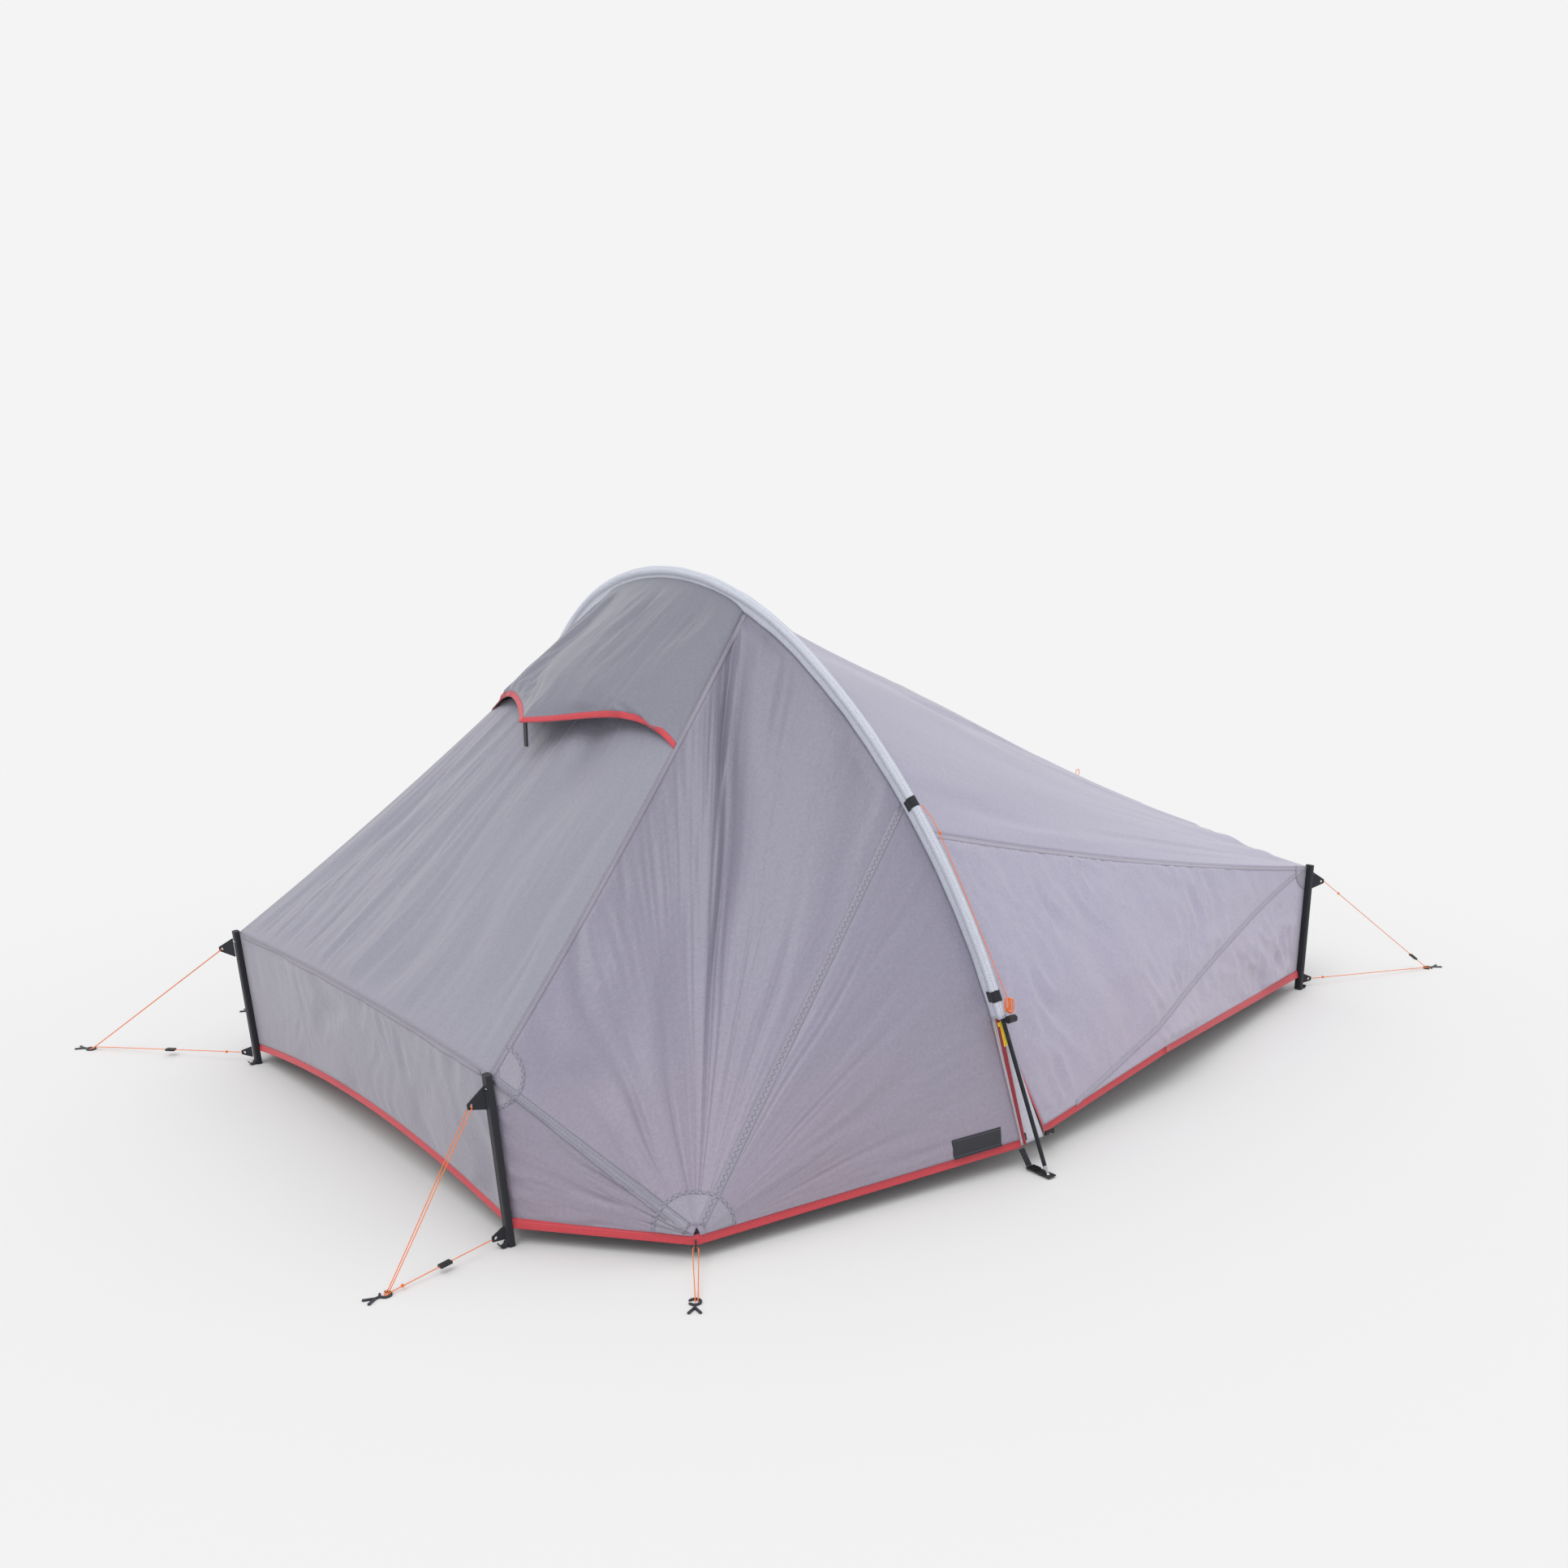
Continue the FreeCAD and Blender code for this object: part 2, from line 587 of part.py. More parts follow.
def middle_tab():
    out, across = middle_frame()
    corner = middle_eye() - out * (MIDDLE_TAB_REACH - 6) - across * (TAB_THICKNESS / 2) - Vector(0, 0, 6)
    plate = oriented_box(corner, out, MIDDLE_TAB_REACH, across, TAB_THICKNESS, Vector(0, 0, 1), 12)
    eye = Part.makeCylinder(3.5, 20, middle_eye() - across * 10, across)
    return plate.cut(eye)


def in_world(v, corner):
    """Turn a vector beside an upright strut into the tent's frame."""
    sx, sy = CORNERS[corner]
    lean = math.atan(STRUT_LEAN)
    x = v.x * math.cos(lean) + v.z * math.sin(lean)
    z = -v.x * math.sin(lean) + v.z * math.cos(lean)
    return Vector(sx * x, -sy * v.y, z)


def tab_eye_at(corner, tab):
    sx, sy = CORNERS[corner]
    return Vector(sx * STRUT_SPACING / 2, sy * HALF_WIDTH, 0) + in_world(tab_eye(corner, tab), corner)


# ---------------------------------------------------------------- the flysheet
COLS = 9


def hem_curve(a, b, rise, count=COLS):
    return [lerp(a, b, i / (count - 1)) + Vector(0, 0, rise * 4 * (i / (count - 1)) * (1 - i / (count - 1)))
            for i in range(count)]


def lifted(points, dz):
    return [p + Vector(0, 0, dz) for p in points]


HEM_TO_PANEL = HEM_BINDING + BINDING_GAP
MIDDLE_HEM = Vector(MIDDLE_HEM_X, -MIDDLE_HEM_Y, MIDDLE_HEM_Z)
DOOR_HEM = Vector(DOOR_HEM_X, -DOOR_HEM_Y, ARCH_HEM_Z)
FOLD_HEM = Vector(DOOR_FOLD_X, -DOOR_FOLD_Y, DOOR_FOLD_Z)
EAVE_START = arch_point(EAVE_S, -PANEL_EDGE, DOOR_SIDE)


def end_wall(name, low_corner, high_corner, eave_rise):
    low = [strut_point(c, HEM_HEIGHT, 0, STRUT_CLEARANCE) for c in (low_corner, high_corner)]
    high = [strut_point(c, STRUT_LENGTH - 7, 0, STRUT_CLEARANCE) for c in (low_corner, high_corner)]
    hem = hem_curve(low[0], low[1], END_HEM_RISE)
    eave = hem_curve(high[0], high[1], eave_rise)
    save(name, [panel(ruled(lifted(hem, HEM_TO_PANEL), eave, 3))])
    return sheet(ruled(hem, lifted(hem, HEM_BINDING), 1), BINDING_THICKNESS)


def left_roof():
    eave_ends = [strut_point(c, STRUT_LENGTH - 2, 10, STRUT_CLEARANCE) for c in ("b", "a")]
    eave = hem_curve(eave_ends[0], eave_ends[1], LEFT_EAVE_RISE)
    crest = arch_line(SEAM_TOP_S, 2 * HALF_ARCH - SEAM_TOP_S, COLS, -PANEL_EDGE, -PANEL_SIDE)
    rows = ruled(eave, crest, 12, Vector(0, 0, -SEAM_SAG))
    split = int(round(VENT_SHARE * 12))
    save("fly_roof_left", [panel(rows[:split + 1])])
    save("vent_netting", [panel(rows[split:])])


SEAM_FOOT = strut_point("b", STRUT_LENGTH - 7, STRUT_CLEARANCE)
SEAM_CREST = arch_point(SEAM_TOP_S, -PANEL_EDGE, -PANEL_SIDE)
HOOD_END = lerp(SEAM_FOOT, SEAM_CREST, HOOD_END_SHARE) + Vector(0, 0, HOOD_END_LIFT)
HOOD_LIP_X = HOOD_END.x - HOOD_REACH


def hood_outline(y_share):
    """Hood profile across the tent: 1 in the middle, 0 at the two ends."""
    return 1 - y_share ** 2


def hood_edge(x_middle, z_middle):
    edge = []
    for i in range(COLS):
        share = 2 * i / (COLS - 1) - 1
        swell = hood_outline(share)
        edge.append(Vector(lerp(HOOD_END.x, x_middle, swell), share * (-HOOD_END.y - SEAM_GAP),
                           lerp(HOOD_END.z, z_middle, swell) + 8))
    return edge


def vent_hood():
    start = SEAM_TOP_S + 14
    crest = arch_line(start, 2 * HALF_ARCH - start, COLS, -PANEL_EDGE + 14, -PANEL_SIDE - 6.5)
    back = hood_edge(HOOD_END.x, HOOD_END.z + HOOD_BULGE_Z)
    save("vent_hood_panel", [panel(ruled(crest, back, 4))])
    front = [p + Vector(-HOOD_GAP, 0, -2) for p in back]
    front[0] += Vector(-6, 12, -6)
    front[-1] += Vector(-6, -12, -6)
    lip = hood_edge(HOOD_LIP_X, HOOD_END.z)
    lip[0] = front[0] + Vector(-14, 10, -10)
    lip[-1] = front[-1] + Vector(-14, -10, -10)
    save("vent_hood_visor", [sheet(ruled(front, lip, 3), FABRIC)])
    low = [p + Vector(-7, 0, -9) for p in lip]
    rim = [p + Vector(-1, 0, -1) for p in lip]
    save("vent_hood_binding", [sheet(ruled(rim, low, 1), BINDING_THICKNESS)])
    prop = Part.makeBox(PROP_THICKNESS, PROP_WIDTH, PROP_LENGTH,
                        Vector(-PROP_THICKNESS / 2, -PROP_WIDTH / 2, -PROP_LENGTH))
    prop.rotate(Vector(0, 0, 0), Vector(0, 1, 0), PROP_TILT)
    prop.translate(PROP_TOP)
    save("vent_prop", [prop])


PROP_TOP = Vector(HOOD_LIP_X + 16, 0, HOOD_END.z - 4)
PROP_TILT = 0.0


def side_walls():
    b_top = strut_point("b", STRUT_LENGTH - 7, STRUT_CLEARANCE)
    b_hem = strut_point("b", HEM_HEIGHT, STRUT_CLEARANCE)
    middle = MIDDLE_HEM + Vector(0, 0, HEM_TO_PANEL)
    tip_share = 0.95
    top_edge = straight(b_top, lerp(b_top, middle, tip_share), 5)
    low = b_hem + Vector(0, 0, HEM_TO_PANEL)
    low_edge = straight(low, lerp(low, middle, tip_share), 5)
    save("fly_side_corner", both_sides(panel(ruled(top_edge, low_edge, 3))))

    seam_top = arch_point(SEAM_TOP_S - 8, -PANEL_EDGE, -PANEL_SIDE)
    seam = [p + Vector(0, 0, -SEAM_SAG) * (4 * t * (1 - t)) for p, t in
            zip(straight(b_top, seam_top, 7), [i / 6 for i in range(7)])]
    crest = arch_line(SEAM_TOP_S - 8, SIDE_SEAM_S, 7, -PANEL_EDGE, -PANEL_SIDE)
    save("fly_side_main", both_sides(panel(fan(middle, seam + crest[1:]))))

    down = arch_line(SIDE_SEAM_S, SLEEVE_START, 6, -PANEL_EDGE, -PANEL_SIDE)
    foot = arch_foot_hem() + Vector(-PANEL_SIDE, 0, HEM_TO_PANEL)
    edge = down + straight(down[-1], foot, 4)[1:]
    save("fly_side_rear", both_sides(panel(fan(middle, edge))))


def right_side():
    crest = arch_line(EAVE_S + 4, 2 * HALF_ARCH - EAVE_S - 4, 13, -PANEL_EDGE, PANEL_SIDE)
    ends = [strut_point(c, STRUT_LENGTH - 2, 10, STRUT_CLEARANCE) for c in ("c", "d")]
    low = []
    for i in range(13):
        share = 2 * i / 12 - 1
        low.append(lerp(ends[0], ends[1], i / 12) + Vector(0, 0, RIGHT_EAVE_RISE * (1 - abs(share)) ** 1.2))
    save("fly_roof_right", [panel(ruled(crest, low, 6, Vector(0, 0, -SEAM_SAG)))])

    wall_low = [strut_point(c, HEM_HEIGHT, 0, STRUT_CLEARANCE) for c in ("c", "d")]
    hem = hem_curve(wall_low[0], wall_low[1], END_HEM_RISE, 13)
    eave = [p + Vector(8, 0, -5) for p in low]
    eave[0] = strut_point("c", STRUT_LENGTH - 7, 0, STRUT_CLEARANCE)
    eave[-1] = strut_point("d", STRUT_LENGTH - 7, 0, STRUT_CLEARANCE)
    save("fly_end_wall_right", [panel(ruled(lifted(hem, HEM_TO_PANEL), eave, 3))])

    c_top = strut_point("c", STRUT_LENGTH - 12, STRUT_CLEARANCE)
    c_hem = strut_point("c", HEM_HEIGHT, STRUT_CLEARANCE)
    fold = straight(EAVE_START + Vector(0, 0, -4), FOLD_HEM + Vector(0, 0, HEM_TO_PANEL), 6)
    along = (fold[-1] - fold[0]).normalize()
    apart = Vector(along.z, 0, -along.x) * -1
    fixed = [p + apart * (FOLD_GAP / 2) for p in fold]
    strut = straight(c_top, c_hem + Vector(0, 0, HEM_TO_PANEL), 6)
    save("fly_side_fixed", both_sides(panel(ruled(fixed, strut, 5))))

    hinge = [p - apart * (FOLD_GAP / 2) for p in fold]
    zip_edge = arch_line(EAVE_S, SLEEVE_START, 5, -PANEL_EDGE, DOOR_SIDE)
    zip_edge += straight(zip_edge[-1], DOOR_HEM + Vector(0, 0, HEM_TO_PANEL), 4)[1:]
    flap = panel(ruled(zip_edge, straight(hinge[0], hinge[-1], len(zip_edge)), 5))
    door_hem = straight(DOOR_HEM, FOLD_HEM - apart * (FOLD_GAP / 2), 5)
    door_tape = sheet(ruled(door_hem, lifted(door_hem, HEM_BINDING), 1), BINDING_THICKNESS)
    fixed_hem = straight(FOLD_HEM + apart * (FOLD_GAP / 2), c_hem, 6)
    fixed_tape = sheet(ruled(fixed_hem, lifted(fixed_hem, HEM_BINDING), 1), BINDING_THICKNESS)
    for side, turn in (("near", lambda s: s), ("far", mirrored)):
        save("door_flap_" + side, [turn(flap)])
        save("door_hem_" + side, [turn(door_tape)])
    tape_right = sheet(ruled(hem, lifted(hem, HEM_BINDING), 1), BINDING_THICKNESS)
    return [tape_right] + both_sides(fixed_tape)


def hems(left_tape, right_tapes):
    b_hem = strut_point("b", HEM_HEIGHT, STRUT_CLEARANCE)
    front = straight(b_hem, MIDDLE_HEM + Vector(-2, 0, 0), 5)
    back = straight(MIDDLE_HEM + Vector(2, 0, 0), arch_foot_hem() + Vector(-PANEL_SIDE, 0, 0), 7)
    tapes = [left_tape] + right_tapes
    for line in (front, back):
        tapes += both_sides(sheet(ruled(line, lifted(line, HEM_BINDING), 1), BINDING_THICKNESS))
    save("hem_binding", tapes)


def zips():
    tape = ruled(arch_line(EAVE_S + 180, SLEEVE_START, 9, -PANEL_EDGE + 3, 3),
                 arch_line(EAVE_S + 180, SLEEVE_START, 9, -PANEL_EDGE + 3 + ZIP_WIDTH, 3), 1)
    top, low = zip_tail()
    side = Vector(0, -ZIP_WIDTH, 0)
    tail = ruled([top, top + side], [low, low + side], 3)
    solids = [sheet(tape, 1.2), sheet(tail, 1.2)]
    save("door_zips", [p for s in solids for p in both_sides(s)])
    slider = zip_slider()
    save("zip_slider_near", [slider])
    save("zip_slider_far", [mirrored(slider)])


def zip_tail():
    """Straight lower stretch of the zip, from the tunnel's mouth to the hem."""
    top = arch_point(SLEEVE_START - 4, -PANEL_EDGE + 3, 4)
    low = arch_foot_hem() + Vector(5, 3, 6)
    return top, low


def zip_slider():
    top, low = zip_tail()
    along = (top - low).normalize()
    centre = low + along * 16 + Vector(0, -ZIP_WIDTH / 2, 0)
    across = Vector(0, 1, 0)
    out = across.cross(along).normalize()
    if out.x < 0:
        out = out * -1
    base = centre + out * (1.2 / 2 + 0.4)
    corner = base - along * (SLIDER_LENGTH / 2) - across * (SLIDER_WIDTH / 2)
    body = oriented_box(corner, along, SLIDER_LENGTH, across, SLIDER_WIDTH, out, SLIDER_HEIGHT)
    bridge = base + out * SLIDER_HEIGHT - along * 3 - across * 1.5
    loop = oriented_box(bridge, along, 6, across, 3, out, 2.5)
    return body.fuse(loop).removeSplitter()


def oriented_box(corner, u, length, v, width, w, height):
    base = [corner, corner + u * length, corner + u * length + v * width, corner + v * width]
    return Part.Face(Part.makePolygon(base + base[:1])).extrude(w * height)


def label():
    """Plain black tab sewn above the hem, beside the arch pole."""
    along = (MIDDLE_HEM - arch_foot_hem()).normalize()
    wall_up = (arch_point(SLEEVE_START, -PANEL_EDGE, -PANEL_SIDE) - arch_foot_hem()).normalize()
    out = along.cross(wall_up).normalize()
    if out.y > 0:
        out = out * -1
    start = arch_foot_hem() + along * LABEL_FROM_ARCH
    start = start + wall_up * (HEM_TO_PANEL + 2) + out * (FABRIC / 2 + 4)
    up = out.cross(along).normalize()
    if up.z < 0:
        up = up * -1
    save("blank_label", [oriented_box(start, along, LABEL_LENGTH, up, LABEL_HEIGHT, out, LABEL_THICKNESS)])


# ---------------------------------------------------------------- pole foot, lock and hook
def pole_feet():
    foot = arch_point(0)
    inward = Vector(0, 1, 0)
    plate = Part.makeBox(FOOT_PLATE_WIDTH, FOOT_PLATE_LENGTH, FOOT_PLATE_THICKNESS,
                         foot + Vector(-FOOT_PLATE_WIDTH / 2, -12, FOOT_PLATE_LEVEL))
    hole = Part.makeCylinder(TIP_BALL_DIAMETER / 2 + EYELET_CLEARANCE, 20, foot + Vector(0, 0, -1))
    slot_corner = foot + Vector(-BUCKLE_WIDTH / 2 + 4, FOOT_PLATE_LENGTH - 18, -1)
    slot = Part.makeBox(BUCKLE_WIDTH, 3, 20, slot_corner)
    slot = slot.common(Part.makeBox(BUCKLE_WIDTH - 8, 10, 40, foot + Vector(-BUCKLE_WIDTH / 2 + 4, 15, -5)))
    save("pole_foot_plates", both_sides(plate.cut(hole).cut(slot)))

    hinge = foot + inward * (FOOT_PLATE_LENGTH - 12 + 2) + Vector(0, 0, FOOT_PLATE_LEVEL + 1.5)
    buckle = Part.makeBox(BUCKLE_WIDTH, BUCKLE_LENGTH, BUCKLE_THICKNESS,
                          hinge + Vector(-BUCKLE_WIDTH / 2, -1, -BUCKLE_THICKNESS / 2 + 1))
    window = Part.makeBox(BUCKLE_WIDTH - 6, 5, 20, hinge + Vector(-BUCKLE_WIDTH / 2 + 3, 3, -10))
    window2 = Part.makeBox(BUCKLE_WIDTH - 6, 5, 20, hinge + Vector(-BUCKLE_WIDTH / 2 + 3, 11, -10))
    buckle = buckle.cut(window).cut(window2)
    save("tension_buckle_near", [buckle])
    save("tension_buckle_far", [mirrored(buckle)])

    start = hinge + Vector(0, BUCKLE_LENGTH + 1, 2)
    end = arch_foot_hem() + Vector(0, 0, -3)
    edge_a = [start + Vector(-WEBBING_WIDTH / 2, 0, 0), start + Vector(WEBBING_WIDTH / 2, 0, 0)]
    edge_b = [end + Vector(-WEBBING_WIDTH / 2, 0, 0), end + Vector(WEBBING_WIDTH / 2, 0, 0)]
    save("pole_foot_webbing", both_sides(sheet(ruled(edge_a, edge_b, 2), WEBBING_THICKNESS)))
    return hinge


def door_hooks():
    corner = DOOR_HEM + Vector(-2, -8, 4)
    body = Part.makeBox(HOOK_LENGTH, 4, 8, corner + Vector(-3, -4, -4))
    mouth = Part.makeBox(HOOK_LENGTH - 12, 10, 3.4, corner + Vector(6, -6, -4.5))
    hook = body.cut(mouth)
    save("door_hook_near", [hook])
    save("door_hook_far", [mirrored(hook)])
    return corner


def cord_locks():
    centre = lock_centre()
    axis = Vector(1, 0, 0)
    start = centre - axis * (LOCK_LENGTH / 2)
    body = Part.makeCylinder(LOCK_DIAMETER / 2, LOCK_LENGTH, start, axis)
    bore = Part.makeCylinder(LOCK_BORE / 2, LOCK_LENGTH - 3, start + axis * 3, axis)
    eye = Part.makeCylinder(LOCK_EYE / 2, 60, centre + Vector(-2, 0, -30), Vector(0, 0, 1))
    save("cord_lock_bodies", both_sides(body.cut(bore).cut(eye)))
    knob_start = start + axis * (3 + BUTTON_TRAVEL + 3)
    knob = Part.makeCylinder(BUTTON_DIAMETER / 2, LOCK_LENGTH - 6, knob_start, axis)
    knob = knob.cut(Part.makeCylinder(LOCK_EYE / 2 + BUTTON_TRAVEL * 0.5, 60,
                                      centre + Vector(-1, 0, -30), Vector(0, 0, 1)))
    knob = max(knob.Solids, key=lambda s: s.Volume)
    save("cord_lock_button_near", [knob])
    save("cord_lock_button_far", [mirrored(knob)])


def lock_centre():
    return arch_point(SLEEVE_START - 4, 20, 4)


# ---------------------------------------------------------------- guy lines and anchors
def anchor_frame(hook, towards):
    """Unit vectors of an anchor: towards the tent, and across."""
    t = Vector(towards.x - hook.x, towards.y - hook.y, 0).normalize()
    return t, Vector(-t.y, t.x, 0)


def anchor(hook, towards):
    t, n = anchor_frame(hook, towards)
    ring_r, hole_r = ANCHOR_RING_OUTER / 2, ANCHOR_RING_INNER / 2
    body = Part.makeCylinder(ring_r, ANCHOR_THICKNESS, hook)
    stem = oriented_box(hook - t * (ring_r + 10) - n * (ANCHOR_BAR / 2), t, 12, n, ANCHOR_BAR,
                        Vector(0, 0, 1), ANCHOR_THICKNESS)
    body = body.fuse(stem)
    fork_start = hook - t * (ring_r + 8)
    for side in (1, -1):
        out = (t * -1 + n * side * 0.55).normalize()
        across = Vector(-out.y, out.x, 0)
        prong = oriented_box(fork_start - across * (ANCHOR_BAR / 2), out, ANCHOR_LENGTH - ANCHOR_RING_OUTER,
                             across, ANCHOR_BAR, Vector(0, 0, 1), ANCHOR_THICKNESS)
        body = body.fuse(prong)
    body = body.cut(Part.makeCylinder(hole_r, ANCHOR_THICKNESS * 3, hook - Vector(0, 0, ANCHOR_THICKNESS)))
    mouth_corner = hook + n * 2 - t * (ANCHOR_MOUTH / 2) - Vector(0, 0, 1)
    mouth = oriented_box(mouth_corner, t, ANCHOR_MOUTH, n, ring_r + 5, Vector(0, 0, 1), ANCHOR_THICKNESS + 2)
    return body.cut(mouth).removeSplitter()


def ring_exit(hook, t, n, across):
    """From inside an anchor's ring out over its bar, towards the tent."""
    level = CORD_DIAMETER / 2 + 0.4
    over = ANCHOR_THICKNESS + CORD_DIAMETER / 2 + 1.2
    return [hook + t * 0.5 + n * across + Vector(0, 0, level),
            hook + t * 5.0 + n * (across * 1.02) + Vector(0, 0, over - 1.2),
            hook + t * 10.5 + n * (across * 1.05) + Vector(0, 0, over + 0.4)]


def ring_turn(hook, t, n, across_from, across_to):
    level = Vector(0, 0, CORD_DIAMETER / 2 + 0.4)
    return [hook - t * 4.2 + n * across_from + level, hook - t * 4.2 + n * across_to + level]


def eye_turn(eye, towards, across):
    """Cord through a webbing eye: up on one side of the tab and away on the other."""
    back = (towards - eye).normalize()
    return [eye + across * EYE_SPREAD + back * EYE_CLEAR, eye + across * (EYE_SPREAD * 0.9),
            eye - across * (EYE_SPREAD * 0.9), eye - across * EYE_SPREAD + back * EYE_CLEAR]


def corner_guys():
    anchors = []
    for corner in CORNERS:
        hook = Vector(PEGS[corner][0], PEGS[corner][1], 0)
        top_eye = tab_eye_at(corner, TOP_TAB)
        low_eye = tab_eye_at(corner, BOTTOM_TAB)
        out = tab_frame(corner)[0]
        outwards, across = in_world(out, corner), in_world(Vector(-out.y, out.x, 0), corner)
        t, n = anchor_frame(hook, low_eye)
        if n.dot(across) < 0:
            n = n * -1
        anchors.append(anchor(hook, low_eye))
        low_end = low_eye + outwards * TAB_TIP
        lower = ring_exit(hook, t, n, -STRAND_GAP) + [low_end]
        if corner in ("a", "b"):
            upper = ring_exit(hook, t, n, STRAND_GAP) + eye_turn(top_eye, hook, across)
            upper += ring_exit(hook, t, n, 0)[::-1]
            held = lower
        else:
            upper = [top_eye + outwards * TAB_TIP] + ring_exit(hook, t, n, 0)[::-1]
            held = [upper[1], upper[0]]
        route = upper + ring_turn(hook, t, n, 0, -STRAND_GAP) + lower
        save("guy_corner_" + corner, [cord_tube("guy_corner_" + corner, route)])
        share = LOWER_ADJUSTER_SHARE if corner in ("a", "b") else UPPER_ADJUSTER_SHARE
        save("adjuster_" + corner, [adjuster(held[-2], held[-1], share)])
        SLIDES["adjuster_" + corner] = (lerp(held[-2], held[-1], share), (held[-1] - held[-2]).normalize())
    return anchors


def adjuster(low, high, share):
    """Bar that the cord runs through, free to slide along it."""
    along = (high - low).normalize()
    across = along.cross(Vector(0, 0, 1)).normalize()
    up = across.cross(along)
    centre = lerp(low, high, share)
    corner = centre - along * (ADJUSTER_LENGTH / 2) - across * (ADJUSTER_WIDTH / 2)
    corner = corner - up * (ADJUSTER_HEIGHT / 2)
    bar = oriented_box(corner, along, ADJUSTER_LENGTH, across, ADJUSTER_WIDTH, up, ADJUSTER_HEIGHT)
    bore = CORD_DIAMETER + 2 * CORD_CLEARANCE
    bar = bar.cut(Part.makeCylinder(bore / 2, ADJUSTER_LENGTH * 2, centre - along * ADJUSTER_LENGTH, along))
    spare = centre + across * (ADJUSTER_WIDTH / 2 - 3)
    return bar.cut(Part.makeCylinder(bore / 2, 20, spare - up * 10, up))


def middle_guys():
    hook = Vector(MIDDLE_HEM.x + PEG_MIDDLE[0], MIDDLE_HEM.y + PEG_MIDDLE[1], 0)
    eye = middle_eye()
    out, across = middle_frame()
    t, n = anchor_frame(hook, eye)
    if n.dot(across) < 0:
        n = n * -1
    route = ring_exit(hook, t, n, STRAND_GAP) + eye_turn(eye, hook, across) + ring_exit(hook, t, n, 0)[::-1]
    cord = cord_tube("guy_middle", route)
    save("guy_middle_near", [cord])
    save("guy_middle_far", [mirrored(cord)])
    return both_sides(anchor(hook, eye))


def arch_guys():
    start_s, knot_s, end_s = BAND_HIGH_S - BAND_LENGTH / 2 - 1, BAND_HIGH_S - 66, HANK_S + HANK_LENGTH / 2
    route = [arch_point(start_s, 8, 10), arch_point(start_s - 25, 13, 11), arch_point(knot_s, 20, 10),
             arch_point(end_s + 14, 17, 11), arch_point(end_s, HANK_RADIAL, HANK_SIDE)]
    cord = cord_tube("arch_guy", route)
    upwards = arch_direction(HANK_S)
    hank_foot = route[-1] - upwards * (HANK_LENGTH + HANK_GAP)
    hank = Part.makeCylinder(HANK_WIDTH / 2, HANK_LENGTH, hank_foot, upwards)
    hank = hank.makeFillet(HANK_WIDTH * 0.3, [e for e in hank.Edges if e.Length > HANK_WIDTH * 3])
    for side, turn in (("near", lambda s: s), ("far", mirrored)):
        save("arch_guy_" + side, [turn(cord)])
        save("arch_guy_hank_" + side, [turn(hank)])


def ridge_loop():
    crest = arch_point(HALF_ARCH, -PANEL_EDGE, PANEL_SIDE)
    end = strut_point("c", STRUT_LENGTH - 2, 10)
    end = Vector(end.x, 0, end.z + RIGHT_EAVE_RISE)
    t = RIDGE_LOOP_SHARE
    foot = lerp(crest, end, t) + Vector(0, 0, FABRIC / 2 + 6 - SEAM_SAG * 4 * t * (1 - t))
    route = [foot + Vector(-5, 0, 0.6), foot + Vector(-4, 1, 9), foot + Vector(2, 1.5, 17),
             foot + Vector(9, 1, 15), foot + Vector(9, 0, 7), foot + Vector(5, 0, -0.6 - 3)]
    save("ridge_loop", [cord_tube("ridge_loop", route)])


def inner_tent():
    half_l, half_w = FLOOR_HALF_LENGTH, FLOOR_HALF_WIDTH
    floor_corner = Vector(-half_l + 4, -half_w + 4, 0)
    floor = Part.makeBox(2 * half_l - 8, 2 * half_w - 8, FLOOR_THICKNESS, floor_corner)
    corners = [Vector(sx * half_l, sy * half_w, 3) for sx, sy in ((-1, -1), (1, -1), (1, 1), (-1, 1))]
    tops = [Vector(c.x - math.copysign(TUB_LEAN, c.x), c.y - math.copysign(TUB_LEAN, c.y), TUB_HEIGHT)
            for c in corners]
    walls = []
    for i in range(4):
        k = (i + 1) % 4
        low, high = straight(corners[i], corners[k], 3), straight(tops[i], tops[k], 3)
        walls.append(panel(ruled(low, high, 1), FABRIC, 2 * SEAM_GAP))
    save("inner_tub_floor", [floor] + walls)
    up = Vector(0, 0, 3)
    crest_left = arch_line(INNER_CREST_S, 2 * HALF_ARCH - INNER_CREST_S, COLS, -INNER_OFFSET, -4)
    crest_right = arch_line(INNER_CREST_S, 2 * HALF_ARCH - INNER_CREST_S, COLS, -INNER_OFFSET, 4)
    left = ruled([p + up for p in straight(tops[0], tops[3], COLS)], crest_left, 4)
    right = ruled([p + up for p in straight(tops[1], tops[2], COLS)], crest_right, 6)
    apex = arch_point(INNER_CREST_S - 10, -INNER_OFFSET)
    side = fan(apex, [p + up for p in straight(tops[0], tops[1], 7)], 4, 0.05)
    save("inner_canopy", [panel(left), panel(right)] + both_sides(panel(side)))


def joint_frames():
    """Where each moving piece turns or slides, before the whole tent is centred."""
    hinge = arch_point(0) + Vector(0, FOOT_PLATE_LENGTH - 10, FOOT_PLATE_LEVEL + 1.5)
    top, low = zip_tail()
    frames = {"door": (EAVE_START + Vector(0, 0, -4), (EAVE_START - FOLD_HEM).normalize()),
              "door_hook": (DOOR_HEM + Vector(-2, -8, 4), Vector(0, 0, -1)),
              "zip_slider": (low, (top - low).normalize()),
              "visor": (Vector(HOOD_END.x, 0, HOOD_END.z), Vector(0, -1, 0)),
              "vent_prop": (PROP_TOP, Vector(1, 0, 0)),
              "cord_lock": (lock_centre(), Vector(-1, 0, 0)),
              "tension_buckle": (hinge, Vector(1, 0, 0))}
    frames.update(SLIDES)
    return frames


